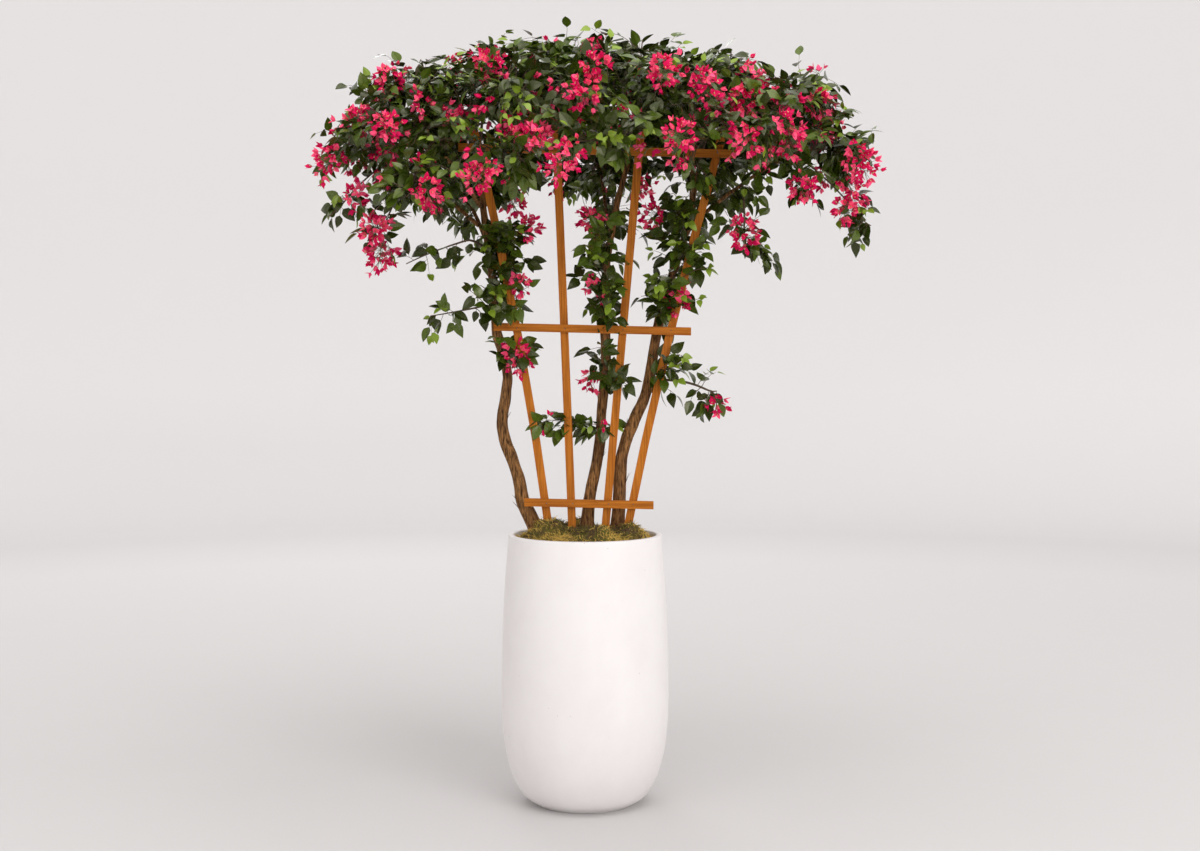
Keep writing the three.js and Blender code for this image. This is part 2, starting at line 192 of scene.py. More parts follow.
class StageSettings(bpy.types.PropertyGroup):
    """The floor, lights and camera."""

    camera_back: length("Camera back", "How far in front of the plant the camera stands", 4.5)
    camera_side: length("Camera side", "How far right of the pot the camera stands", 0.041)
    camera_height: length("Camera height", "Height of the camera", 1.23)
    camera_tilt: FloatProperty(
        name="Camera tilt",
        description="How far the camera looks down",
        default=math.radians(2.4),
        subtype="ANGLE",
    )
    lens: FloatProperty(name="Lens", description="Focal length in millimetres", default=49.1)
    # Floor, far floor and backdrop are painted light and shade: the floor is darkest round the plant,
    # paler far off and palest up the backdrop, so that its colour carries part of the fall from the
    # bright backdrop to the shaded ground round the pot.
    floor: colour("Floor", "Colour of the floor", (0.590, 0.572, 0.567))
    far_floor_painted_light: colour("Far floor", "Colour of the floor far off", (0.725, 0.712, 0.712))
    backdrop: colour("Backdrop", "Colour of the backdrop", (0.86, 0.845, 0.845))


SETTINGS = {
    "bougainvillea_pot": PotSettings,
    "bougainvillea_moss": MossSettings,
    "bougainvillea_trellis": TrellisSettings,
    "bougainvillea_stems": StemSettings,
    "bougainvillea_foliage": FoliageSettings,
    "bougainvillea_blossom": BlossomSettings,
    "bougainvillea_stage": StageSettings,
}


# ---------------------------------------------------------------- meshes


def add_piece(name, points, faces, material, replaces=()):
    """Makes one mesh of the plant and ties it to the frame."""
    mesh = bpy.data.meshes.new(name)
    mesh.from_pydata([tuple(p) for p in points], [], [tuple(f) for f in faces])
    mesh.validate()
    mesh.shade_smooth()
    mesh.materials.append(material)
    piece = bpy.data.objects.new(name, mesh)
    bpy.context.scene.collection.objects.link(piece)
    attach(piece, BODY)
    if replaces:
        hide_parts(*replaces)


class Gathered:
    """The points and triangles of many small shapes, to be joined into one mesh."""

    def __init__(self):
        self.points = []
        self.faces = []
        self.used = 0

    def add(self, points, faces):
        """Takes one shape."""
        self.points.append(np.asarray(points, dtype=float))
        self.faces.append(np.asarray(faces, dtype=int) + self.used)
        self.used += len(points)

    def add_copies(self, template, turns, places):
        """Takes many copies of a template, each with its turning matrix and its place."""
        points, faces = template
        if not len(places):
            return
        turned = np.einsum("nij,pj->npi", np.asarray(turns), points)
        moved = turned + np.asarray(places)[:, None, :]
        starts = np.arange(len(places))[:, None, None] * len(points)
        self.add(moved.reshape(-1, 3), (faces[None] + starts).reshape(-1, 3))

    def piece(self, name, material, slot, replaces=()):
        """Makes the joined mesh."""
        points = np.concatenate(self.points)
        faces = np.concatenate(self.faces)
        if len(faces) > MOST_TRIANGLES:
            raise RuntimeError(f"{name} has {len(faces)} triangles: split it")
        add_piece(name, points, faces, material, replaces)


def grid_faces(rows, columns, closed):
    """The triangles of a grid of points; a closed grid joins its last column to its first."""
    faces = []
    for row in range(rows - 1):
        for column in range(columns if closed else columns - 1):
            a = row * columns + column
            b = row * columns + (column + 1) % columns
            faces += [(a, b, b + columns), (a, b + columns, a + columns)]
    return faces


def around(sides):
    """The cosine and sine of even steps round a circle."""
    angles = [2 * math.pi * side / sides for side in range(sides)]
    return [(math.cos(angle), math.sin(angle)) for angle in angles]


def cap_ends(points, faces, sides, foot, tip):
    """Closes the first and last ring of a closed grid with triangles that meet in one point."""
    last = len(points) - sides
    points += [foot, tip]
    for side in range(sides):
        after = (side + 1) % sides
        faces += [(len(points) - 2, after, side), (len(points) - 1, last + side, last + after)]


def side_frames(points):
    """Two directions square to a path at each of its points, with no sudden turn."""
    points = [Vector(p) for p in points]
    tangents = []
    for i in range(len(points)):
        ahead = points[min(i + 1, len(points) - 1)] - points[max(i - 1, 0)]
        tangents.append(ahead.normalized())
    first = tangents[0].orthogonal().normalized()
    sides = []
    for tangent in tangents:
        first = (first - tangent * first.dot(tangent)).normalized()
        sides.append((first.copy(), tangent.cross(first)))
    return sides


def tube(points, radii, sides, relief=None):
    """A closed tube along a path. relief(step, angle) adds to its radius."""
    rings = []
    frames = side_frames(points)
    for step, (point, radius) in enumerate(zip(points, radii)):
        across, up = frames[step]
        for side in range(sides):
            angle = 2 * math.pi * side / sides
            reach = radius + (relief(step, angle) if relief else 0)
            offset = across * (math.cos(angle) * reach) + up * (math.sin(angle) * reach)
            rings.append(Vector(point) + offset)
    faces = grid_faces(len(points), sides, closed=True)
    cap_ends(rings, faces, sides, Vector(points[0]), Vector(points[-1]))
    return rings, faces


def bezier(start, middle, end, steps):
    """Points along a curve that starts towards middle and ends away from it."""
    points = []
    for step in range(steps + 1):
        t = step / steps
        points.append(start * (1 - t) ** 2 + middle * (2 * t * (1 - t)) + end * t * t)
    return points


def smooth_path(knots, spacing):
    """Points at an even spacing on a smooth curve through the knots, as (place, radius)."""
    padded = [knots[0], *knots, knots[-1]]
    fine = []
    for i in range(1, len(padded) - 2):
        before, start, end, after = (np.array([*p, r]) for p, r in padded[i - 1 : i + 3])
        for step in range(8):
            t = step / 8
            bend = (end - before) * t + (2 * before - 5 * start + 4 * end - after) * t * t
            fine.append(start + 0.5 * (bend + (3 * start - before - 3 * end + after) * t**3))
    fine.append(np.array([*knots[-1][0], knots[-1][1]]))
    fine = np.array(fine)
    travel = np.concatenate([[0], np.cumsum(np.linalg.norm(np.diff(fine[:, :3], axis=0), axis=1))])
    places = np.linspace(0, travel[-1], max(2, round(travel[-1] / spacing) + 1))
    even = [np.interp(places, travel, fine[:, k]) for k in range(4)]
    return [(Vector((x, y, z)), r) for x, y, z, r in zip(*even)]


# ---------------------------------------------------------------- the frame's shapes


def node_points(node):
    """The corners of a CAD node as an array."""
    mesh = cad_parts[node].data
    points = np.empty(len(mesh.vertices) * 3)
    mesh.vertices.foreach_get("co", points)
    return points.reshape(-1, 3)


def node_edges(node):
    """The edges of a CAD node as pairs of corners."""
    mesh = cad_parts[node].data
    edges = np.empty(len(mesh.edges) * 2, dtype=int)
    mesh.edges.foreach_get("vertices", edges)
    return edges.reshape(-1, 2)


def node_tree(node):
    """A search tree of a CAD node's faces."""
    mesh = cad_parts[node].data
    return BVHTree.FromPolygons(
        [v.co for v in mesh.vertices], [tuple(p.vertices) for p in mesh.polygons]
    )


def limb_path(node, direction, cuts):
    """The centre and radius of a CAD limb at even cuts square to a direction."""
    points, edges = node_points(node), node_edges(node)
    heights = points @ np.array(direction)
    low, high = heights.min(), heights.max()
    knots = []
    for cut in range(cuts):
        level = low + (high - low) * (0.02 + 0.96 * cut / (cuts - 1))
        start, end = heights[edges[:, 0]], heights[edges[:, 1]]
        crossed = (start - level) * (end - level) < 0
        part = ((level - start) / (end - start + 1e-12))[crossed][:, None]
        ring = points[edges[crossed, 0]] * (1 - part) + points[edges[crossed, 1]] * part
        centre = ring.mean(axis=0)
        girth = float(np.linalg.norm(ring - centre, axis=1).mean())
        knots.append((Vector(centre), FACET_EASE * girth))
    return knots


def stem_path(stem):
    """A stem's path from the fill to its tip; its lower two thirds keep their girth."""
    knots = limb_path(stem, (0, 0, 1), 34)
    stout = len(knots) * 2 // 3
    return [(p, max(r, STEM_GIRTH) if i < stout else r) for i, (p, r) in enumerate(knots)]


def bough_path(bough):
    """A bough's path from its stem outwards."""
    points = node_points(bough)
    spread = np.linalg.svd(points - points.mean(axis=0), full_matrices=False)[2][0]
    if spread[2] < 0:
        spread = -spread
    knots = [(place, radius * BOUGH_GIRTH) for place, radius in limb_path(bough, spread, 9)[1:]]
    (first, radius), (second, _) = knots[0], knots[1]
    buried = first + (first - second).normalized() * 0.024
    return [(buried, radius), *knots]


# ---------------------------------------------------------------- shader groups and materials


def new_group(name, inputs):
    """A shader group that is to give a colour, a height and a roughness, still without nodes.

    Returns its tree, the sockets it is given and the sockets it fills.
    """
    tree = bpy.data.node_groups.new(name, "ShaderNodeTree")
    for label, kind, default in inputs:
        made = tree.interface.new_socket(name=label, in_out="INPUT", socket_type=kind)
        made.default_value = default
    tree.interface.new_socket(name="Color", in_out="OUTPUT", socket_type="NodeSocketColor")
    for label in ("Height", "Rough"):
        tree.interface.new_socket(name=label, in_out="OUTPUT", socket_type="NodeSocketFloat")
    given, out = tree.nodes.new("NodeGroupInput"), tree.nodes.new("NodeGroupOutput")
    return tree, given.outputs, out.inputs


def feed(socket, value):
    """Links another node's output to a socket, or gives the socket a value of its own."""
    if isinstance(value, bpy.types.NodeSocket):
        socket.id_data.links.new(value, socket)
    elif socket.type == "RGBA" and len(value) == 3:
        socket.default_value = (*value, 1)
    else:
        socket.default_value = value


def shader(tree, kind, inputs=None, **properties):
    """A node of a tree, with its properties set and its sockets fed by name or number."""
    made = tree.nodes.new(kind)
    for key, value in properties.items():
        setattr(made, key, value)
    for key, value in (inputs or {}).items():
        feed(made.inputs[key], value)
    return made


def object_place(tree):
    """The place of the shaded point in its object."""
    return shader(tree, "ShaderNodeTexCoord").outputs["Object"]


def noise_node(tree, vector, detail, roughness):
    """A noise pattern on a vector that is already scaled."""
    inputs = {"Vector": vector, "Scale": 1, "Detail": detail, "Roughness": roughness}
    return shader(tree, "ShaderNodeTexNoise", inputs).outputs["Fac"]


def maths(tree, operation, *values):
    """A sum on numbers and on other nodes' values."""
    inputs = dict(enumerate(values))
    return shader(tree, "ShaderNodeMath", inputs, operation=operation).outputs[0]


def scaled(tree, vector, scale):
    """A vector times another."""
    inputs = {0: vector, 1: scale}
    return shader(tree, "ShaderNodeVectorMath", inputs, operation="MULTIPLY").outputs[0]


def stepped(tree, value, low, high):
    """A value stretched so that low becomes 0 and high becomes 1."""
    inputs = {"Value": value, "From Min": low, "From Max": high}
    return shader(tree, "ShaderNodeMapRange", inputs, clamp=True).outputs["Result"]


def ranged(tree, part, low, high):
    """A value that goes from low to high as a part goes from 0 to 1."""
    inputs = {"Value": part, "To Min": low, "To Max": high}
    return shader(tree, "ShaderNodeMapRange", inputs, clamp=True).outputs["Result"]


def blended(tree, mask, first, second):
    """Two colours mixed by a mask."""
    inputs = {0: mask, 6: first, 7: second}
    return shader(tree, "ShaderNodeMix", inputs, data_type="RGBA").outputs[2]


def grain_group():
    """Long fibres along one direction, as in sawn wood and in bark."""
    if "Fibre grain" in bpy.data.node_groups:
        return bpy.data.node_groups["Fibre grain"]
    tree, given, out = new_group(
        "Fibre grain",
        [
            ("Stretch", "NodeSocketVector", (120, 120, 8)),
            ("Pale", "NodeSocketColor", (0.5, 0.3, 0.1, 1)),
            ("Dark", "NodeSocketColor", (0.1, 0.05, 0.02, 1)),
            ("Low", "NodeSocketFloat", 0.35),
            ("High", "NodeSocketFloat", 0.65),
        ],
    )
    place = object_place(tree)
    fibres = scaled(tree, place, given["Stretch"])
    coarse = noise_node(tree, fibres, 4, 0.55)
    fine = noise_node(tree, scaled(tree, fibres, (3.1, 3.1, 3.1)), 3, 0.6)
    patches = noise_node(tree, scaled(tree, place, (9, 9, 9)), 2, 0.5)
    height = maths(tree, "SUBTRACT", maths(tree, "MULTIPLY_ADD", fine, 0.4, coarse), 0.2)
    spread = stepped(tree, height, given["Low"], given["High"])
    streaks = blended(tree, spread, given["Dark"], given["Pale"])
    weak = maths(tree, "MULTIPLY", stepped(tree, patches, 0.42, 0.75), 0.35)
    feed(out["Color"], blended(tree, weak, streaks, given["Dark"]))
    feed(out["Height"], height)
    feed(out["Rough"], ranged(tree, spread, 0.85, 0.6))
    return tree


def mottle_group():
    """Soft uneven patches with a finer tooth, as on a matte coat, a leaf or moss."""
    if "Soft mottle" in bpy.data.node_groups:
        return bpy.data.node_groups["Soft mottle"]
    tree, given, out = new_group(
        "Soft mottle",
        [
            ("Patches", "NodeSocketVector", (12, 12, 12)),
            ("Tooth", "NodeSocketVector", (300, 300, 300)),
            ("First", "NodeSocketColor", (0.8, 0.8, 0.8, 1)),
            ("Second", "NodeSocketColor", (0.7, 0.7, 0.7, 1)),
            ("Smooth", "NodeSocketFloat", 0.5),
            ("Rough", "NodeSocketFloat", 0.7),
        ],
    )
    place = object_place(tree)
    patches = noise_node(tree, scaled(tree, place, given["Patches"]), 4, 0.6)
    mask = stepped(tree, patches, 0.36, 0.66)
    feed(out["Color"], blended(tree, mask, given["First"], given["Second"]))
    feed(out["Height"], noise_node(tree, scaled(tree, place, given["Tooth"]), 3, 0.6))
    feed(out["Rough"], ranged(tree, mask, given["Smooth"], given["Rough"]))
    return tree


def grouped_material(name, group, values, bump, plain=None, **surface):
    """A Principled material whose colour, roughness and bump come from a group.

    plain gives an even colour instead of the group's. bump is (strength, distance).
    """
    material = bpy.data.materials.new(name)
    material.use_nodes = True
    tree = material.node_tree
    inputs = tree.nodes["Principled BSDF"].inputs
    pattern = shader(tree, "ShaderNodeGroup", node_tree=group)
    for key, value in values.items():
        feed(pattern.inputs[key], value)
    for key, value in surface.items():
        feed(inputs[key.replace("_", " ")], value)
    feed(inputs["Base Color"], pattern.outputs["Color"] if plain is None else plain)
    feed(inputs["Roughness"], pattern.outputs["Rough"])
    relief = {"Strength": bump[0], "Distance": bump[1], "Height": pattern.outputs["Height"]}
    feed(inputs["Normal"], shader(tree, "ShaderNodeBump", relief).outputs["Normal"])
    material.diffuse_color = (*(plain or (0.5, 0.5, 0.5)), 1)
    return material


def plain_leafy(name, color, smooth, rough, **surface):
    """A thin leafy surface: an even colour dealt out by spray, with an uneven gloss."""
    values = {"Patches": (60, 60, 60), "Tooth": (420, 420, 420), "Smooth": smooth, "Rough": rough}
    return grouped_material(name, mottle_group(), values, (0.25, 0.001), plain=color, **surface)


# ---------------------------------------------------------------- pot and moss


def pot_profile():
    """The pot's outer outline from its foot up and inner outline from its rim down, and its height."""
    points = node_points("pot")
    radii = np.hypot(points[:, 0], points[:, 1])
    low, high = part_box("pot")
    floor = float(points[radii < 0.001, 2].max())
    sides, walls = [], []
    for height in np.unique(points[:, 2].round(4)):
        level = radii[np.abs(points[:, 2] - height) < 2e-4]
        if height < high.z - 0.001 and abs(height - floor) > 0.001:
            sides.append((float(level.max()), float(height)))
        if floor - 0.001 < height < high.z - 0.001:
            inner = level.min() if height > floor + 0.001 else level.max()
            walls.insert(0, (float(inner), float(height)))
    return sides, walls, high.z


def eased_outline(points, rows):
    """More points on a smooth curve through an outline's points."""
    knots = [(Vector((r, 0, z)), 0.0) for r, z in points]
    run = sum((b[0] - a[0]).length for a, b in zip(knots, knots[1:]))
    return [(p.x, p.z) for p, _ in smooth_path(knots, run / rows)]


def turned_pot(settings):
    """The pot as one closed turned surface: foot, wall, rounded rim and inside down to its floor."""
    sides, walls, rim = pot_profile()
    (lip_out, lip_low), lip_in = sides[-1], walls[0][0]
    half, middle = (lip_out - lip_in) / 2, (lip_out + lip_in) / 2
    lip = []
    for step in range(1, 12):
        angle = math.pi * step / 12
        rise = (rim - lip_low) * math.sin(angle) ** 0.6
        lip.append((middle + half * math.cos(angle), lip_low + rise))
    foot_radius = sides[0][0]
    foot = [(foot_radius - 0.006, 0.0), (foot_radius - 0.0015, 0.0006)]
    outline = [(foot_radius * 0.5, 0.0), *foot]
    outline += eased_outline([(foot_radius, 0.003), *sides[1:]], settings.rows)
    outline += lip + eased_outline(walls, settings.rows // 2)
    points = []
    for radius, height in outline:
        for across, deep in around(settings.sides):
            wave = noise.noise(Vector((across * 1.4, deep * 1.4, height * 5)))
            reach = radius + wave * settings.waviness * min(1, height / 0.05)
            points.append((across * reach, deep * reach, height))
    faces = grid_faces(len(outline), settings.sides, closed=True)
    cap_ends(points, faces, settings.sides, (0, 0, 0), (0, 0, outline[-1][1]))
    return points, faces


def pot_material(settings):
    """Matte white coat with faint mottling and a few pinholes."""
    values = {
        "Patches": (7, 7, 5),
        "Tooth": (260, 260, 260),
        "First": settings.white,
        "Second": settings.shade,
        "Smooth": 0.55,
        "Rough": 0.72,
    }
    material = grouped_material("matte_white_coat", mottle_group(), values, (0.12, 0.0006))
    tree = material.node_tree
    base = tree.nodes["Principled BSDF"].inputs["Base Color"]
    inputs = {"Vector": object_place(tree), "Scale": 24}
    holes = shader(tree, "ShaderNodeTexVoronoi", inputs, feature="F1")
    clear = stepped(tree, holes.outputs["Distance"], 0.022, 0.034)
    feed(base, blended(tree, clear, (0.42, 0.38, 0.34), base.links[0].from_socket))
    return material


class BOUGAINVILLEA_OT_pot(bpy.types.Operator):
    """Turns the tall matte white pot"""

    bl_idname = "bougainvillea.pot"
    bl_label = "Make the pot"

    def execute(self, context):
        settings = context.scene.bougainvillea_pot
        points, faces = turned_pot(settings)
        add_piece("tall_pot", points, faces, pot_material(settings), ("pot",))
        return {"FINISHED"}


# Where the moss is heaped.
MOSS_MOUNDS = ((-0.115, -0.01), (-0.085, 0.02), (0.125, -0.02), (-0.02, 0.12), (0.04, -0.11))


def moss_height(tree, x, y, edge_height, lump):
    """The height of the moss over a place."""
    hit = tree.ray_cast(Vector((x, y, 2)), DOWN)[0]
    base = hit.z if hit else edge_height
    cushions = 1 - abs(noise.noise(Vector((x * 26, y * 26, 3.1)))) * 1.6
    tooth = noise.noise(Vector((x * 150, y * 150, 8.2)))
    mounds = sum(math.exp(-((x - a) ** 2 + (y - b) ** 2) / 0.0016) for a, b in MOSS_MOUNDS)
    return base + lump * (cushions * 0.75 - 1.0 + 0.35 * tooth + 1.5 * mounds)


class BOUGAINVILLEA_OT_moss(bpy.types.Operator):
    """Lays the bed of moss over the filling, with loose blades"""

    bl_idname = "bougainvillea.moss"
    bl_label = "Lay the moss"

    RINGS = 34
    SIDES = 130
    # How far above the bed's foot its rim lies.
    RIM = 0.016

    def execute(self, context):
        settings = context.scene.bougainvillea_moss
        low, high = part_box("moss_bed")
        radius = (high.x - low.x) / 2
        tree = node_tree("moss_bed")
        edge = low.z + self.RIM
        sides = self.SIDES
        bed = Gathered()
        points = []
        for ring in range(self.RINGS):
            out = radius * (ring + 0.5) / (self.RINGS - 0.5)
            for across, deep in around(sides):
                x, y = out * across, out * deep
                points.append((x, y, moss_height(tree, x, y, edge, settings.lump)))
        rim = [(x, y, low.z) for x, y, _ in points[-sides:]]
        middle = (0, 0, moss_height(tree, 0, 0, edge, settings.lump))
        faces = grid_faces(self.RINGS + 1, sides, closed=True)
        faces += [(len(points) + sides, side, (side + 1) % sides) for side in range(sides)]
        bed.add([*points, *rim, middle], faces)
        mottles = {"Patches": (26, 26, 26), "Tooth": (700, 700, 700), "Smooth": 0.9, "Rough": 1.0}
        mottles |= {"First": settings.brown, "Second": settings.green}
        material = grouped_material("moss_bed", mottle_group(), mottles, (0.6, 0.004))
        bed.piece("moss_cushions", material, "moss", ("moss_bed",))
        self.lay_blades(settings, tree, radius, edge)
        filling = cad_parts["potting_fill"]
        filling.data.materials.clear()
        values = {"First": (0.05, 0.03, 0.02), "Second": (0.09, 0.06, 0.04)}
        material = grouped_material("dry_filling", mottle_group(), values, (0.5, 0.003))
        filling.data.materials.append(material)
        return {"FINISHED"}

    def lay_blades(self, settings, tree, radius, edge):
        """Short curved blades, golden at the edge and green and brown in the middle."""
        rng = random.Random(31)
        kinds = {"green": Gathered(), "golden": Gathered(), "brown": Gathered()}
        for _ in range(settings.strands):
            out = radius * math.sqrt(rng.random()) * 0.995
            angle = rng.uniform(0, 2 * math.pi)
            x, y = out * math.cos(angle), out * math.sin(angle)
            golden = (out / radius) ** 2 * (1.10 + 1.3 * noise.noise(Vector((x * 14, y * 14, 0.5))))
            draw = rng.random()
            kind = "golden" if draw < golden else "green" if draw < golden + 0.42 else "brown"
            root = Vector((x, y, moss_height(tree, x, y, edge, settings.lump) - 0.002))
            lean = Vector((rng.gauss(0, 1), rng.gauss(0, 1), rng.uniform(0.3, 1.6))).normalized()
            size = settings.strand * rng.uniform(0.5, 1.5)
            bend = Vector((rng.gauss(0, 1), rng.gauss(0, 1), -0.6)) * size * 0.3
            across = lean.orthogonal().normalized() * rng.uniform(0.0005, 0.0011)
            middle, tip = root + lean * size * 0.55, root + lean * size + bend
            blade = [root - across, root + across, middle - across * 0.8, middle + across * 0.8, tip]
            kinds[kind].add(blade, [(0, 1, 3), (0, 3, 2), (2, 3, 4)])
        for kind, blades in kinds.items():
            material = plain_leafy(f"moss_{kind}", getattr(settings, kind), 0.85, 1.0)
            blades.piece(f"moss_blades_{kind}", material, "moss")


# ---------------------------------------------------------------- trellis


def eased_copy(node, name, width, material):
    """A CAD slat with its long edges eased."""
    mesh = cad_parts[node].data.copy()
    piece = bpy.data.objects.new(name, mesh)
    bpy.context.scene.collection.objects.link(piece)
    bevel = piece.modifiers.new("eased", "BEVEL")
    bevel.width, bevel.segments, bevel.limit_method = width, 2, "ANGLE"
    bevel.angle_limit = math.radians(40)
    drawn = piece.evaluated_get(bpy.context.evaluated_depsgraph_get())
    shaped = bpy.data.meshes.new_from_object(drawn)
    piece.modifiers.clear()
    piece.data = shaped
    shaped.materials.clear()
    shaped.materials.append(material)
    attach(piece, BODY)
    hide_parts(node)


def cedar_material(name, stretch, settings):
    """Stained cedar, with its grain along the slat."""
    values = {
        "Stretch": stretch,
        "Pale": settings.pale,
        "Dark": settings.dark,
        "Low": 0.28,
        "High": 0.62,
    }
    return grouped_material(name, grain_group(), values, (0.35, 0.0012), Specular_IOR_Level=0.22)


class BOUGAINVILLEA_OT_trellis(bpy.types.Operator):
    """Makes the cedar slats of the fan and the nails that join them"""

    bl_idname = "bougainvillea.trellis"
    bl_label = "Make the trellis"

    NAIL_SIDES = 10

    def execute(self, context):
        settings = context.scene.bougainvillea_trellis
        upright = cedar_material("cedar_stave", (210, 210, 7), settings)
        level = cedar_material("cedar_rail", (7, 210, 210), settings)
        for node in STAVES:
            eased_copy(node, f"cedar_{node}", settings.edge, upright)
        for node in RAILS:
            eased_copy(node, f"cedar_{node}", settings.edge, level)
        nails = Gathered()
        for stave in STAVES:
            path = [centre for centre, _ in limb_path(stave, (0, 0, 1), 40)]
            for rail in RAILS:
                low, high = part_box(rail)
                crossing = min(path, key=lambda p: abs(p.z - (low.z + high.z) / 2))
                if low.x + 0.01 < crossing.x < high.x - 0.01:
                    height = self.rail_height(rail, crossing.x)
                    self.drive(nails, Vector((crossing.x, low.y, height)), settings.nail)
        values = {"First": (0.35, 0.33, 0.30), "Second": (0.18, 0.12, 0.08), "Smooth": 0.35}
        material = grouped_material("nail_head", mottle_group(), values, (0.2, 0.0004), Metallic=0.8)
        nails.piece("trellis_nails", material, "")
        return {"FINISHED"}

    def rail_height(self, rail, x):
        """The height of a rail's middle at a place across it."""
        (left, _), (right, _) = (limb_path(rail, (1, 0, 0), 2))
        return left.z + (right.z - left.z) * (x - left.x) / (right.x - left.x)

    def drive(self, nails, place, radius):
        """One low domed nail head on the front of a rail."""
        points = [place + Vector((0, -0.0009, 0))]
        for out, proud in ((0.6, -0.0007), (1.0, 0.0003)):
            reach = radius * out
            for across, up in around(self.NAIL_SIDES):
                points.append(place + Vector((across * reach, proud, up * reach)))
        sides = self.NAIL_SIDES
        faces = [(0, 1 + side, 1 + (side + 1) % sides) for side in range(sides)]
        faces += [tuple(i + 1 for i in face) for face in grid_faces(2, sides, closed=True)]
        nails.add(points, faces)


# ---------------------------------------------------------------- stems and boughs


def bark_relief(seed, radii, ring, depth):
    """Furrows that run along a limb and turn slowly round it, with slow swellings."""

    def relief(step, angle):
        along = step * ring
        turned = angle + along * 2.4
        across, deep = math.cos(turned), math.sin(turned)
        swelling = noise.noise(Vector((across * 0.9, deep * 0.9, along * 11 + seed)))
        furrow = noise.noise(Vector((across * 3.4, deep * 3.4, along * 9 + seed * 2)))
        fibre = noise.noise(Vector((across * 8.5, deep * 8.5, along * 22 + seed * 3)))
        ridges = 1 - abs(furrow) * 2.6
        return radii[step] * 0.10 * swelling + depth * (0.55 * ridges - 0.4 + 0.5 * fibre)

    return relief


def bark_material(settings):
    """Weathered bark with pale ridges."""
    values = {
        "Stretch": (230, 230, 30),
        "Pale": settings.pale,
        "Dark": settings.dark,
        "Low": 0.34,
        "High": 0.66,
    }
    return grouped_material("bark", grain_group(), values, (0.8, 0.003), Specular_IOR_Level=0.2)


def barked_limb(node, knots, sides, ring, depth, seed, material):
    """A limb with the relief of its bark, in place of a CAD limb."""
    path = smooth_path(knots, ring)
    radii = [radius for _, radius in path]
    relief = bark_relief(seed, radii, ring, depth)
    points, faces = tube([p for p, _ in path], radii, sides, relief)
    add_piece(f"bark_{node}", points, faces, material, (node,))


def point_along(path, part):
    """A point of a path and its direction, at a share of its length."""
    place = min(int(part * (len(path) - 1)), len(path) - 2)
    point, following = path[place][0], path[place + 1][0]
    return point, (following - point).normalized(), path[place][1]


class BOUGAINVILLEA_OT_stems(bpy.types.Operator):
    """Makes the stems and boughs with their bark, and the strips and fibres that peel from it"""

    bl_idname = "bougainvillea.stems"
    bl_label = "Make the stems"

    STEM_SEED = 11.3
    BOUGH_SEED = 5.7
    # A bough is plainer than a stem: it has fewer facets, longer rings and shallower furrows.
    BOUGH_SIDES = 16
    BOUGH_RING = 1.6
    BOUGH_FURROW = 0.4
    # Where loose bark lifts: stem, share of its length, side (-1 left, 1 right), length in metres.
    LOOSE = (
        ("stem_left", 0.07, -1, 0.028),
        ("stem_left", 0.10, -1, 0.019),
        ("stem_left", 0.33, 1, 0.021),
        ("stem_centre", 0.36, -1, 0.032),
        ("stem_centre", 0.22, 1, 0.016),
        ("stem_right", 0.14, 1, 0.037),
        ("stem_right", 0.30, -1, 0.019),
        ("stem_right", 0.84, 1, 0.024),
    )

    def execute(self, context):
        settings = context.scene.bougainvillea_stems
        material = bark_material(settings)
        ring, depth = settings.ring, settings.furrow
        for index, stem in enumerate(STEMS):
            seed = self.STEM_SEED * (index + 1)
            barked_limb(stem, stem_path(stem), settings.sides, ring, depth, seed, material)
        ring, depth = ring * self.BOUGH_RING, depth * self.BOUGH_FURROW
        for index, bough in enumerate(BOUGHS):
            seed = self.BOUGH_SEED * (index + 1)
            barked_limb(bough, bough_path(bough), self.BOUGH_SIDES, ring, depth, seed, material)
        self.lift_bark(material)
        return {"FINISHED"}

    def lift_bark(self, material):
        """Thin curled strips that have come away from the stems."""
        rng = random.Random(5)
        strips = Gathered()
        for stem, part, side, long in self.LOOSE:
            path = smooth_path(stem_path(stem), 0.01)
            start, along, radius = point_along(path, part)
            out = Vector((side, -0.35, 0)).normalized()
            for strand in range(3):
                width = 0.0032 / (1 + strand)
                root = start + out * (radius * 0.9) + along * rng.uniform(-0.006, 0.006)
                bend = root + along * long * 0.6 + out * 0.004
                tip = root + along * long + out * long * rng.uniform(0.18, 0.5)
                tip += Vector((0, rng.uniform(-0.008, 0.004), 0))
                centres = bezier(root, bend, tip, 8)
                across = out.cross(along).normalized() * width
                points = [p + across * s * (1 - i / 14) for i, p in enumerate(centres) for s in (-1, 1)]
                strips.add(points, grid_faces(len(centres), 2, closed=False))
        strips.piece("loose_bark", material, "bark")


# ---------------------------------------------------------------- foliage


def blade_template(width, fold, curl, point, rows=5):
    """A leaf-like blade one metre long, folded on its midrib and curled towards its tip.

    Its base is at the origin, it runs along +Y and its face looks along +Z. Each half has its own
    points along the midrib, so that the fold stays crisp.
    """
    stations = np.linspace(0, 1, rows + 1)
    outline = stations**0.62 * (1 - stations) ** point
    outline = width / 2 * outline / outline.max()
    points, faces = [], []
    for side in (-1, 1):
        start = len(points)
        for station, half in zip(stations, outline):
            droop = -curl * station * station
            for out in (0, 0.55, 1):
                lift = fold * half * out * (1 - 0.3 * out)
                points.append((side * half * out, station, droop + lift))
        for row in range(rows):
            for column in range(2):
                a = start + row * 3 + column
                if row > 0:
                    faces.append((a, a + 1, a + 4) if side > 0 else (a, a + 4, a + 1))
                if row < rows - 1 or column == 0 or row == 0:
                    faces.append((a, a + 4, a + 3) if side > 0 else (a, a + 3, a + 4))
    return np.array(points), np.array(faces)


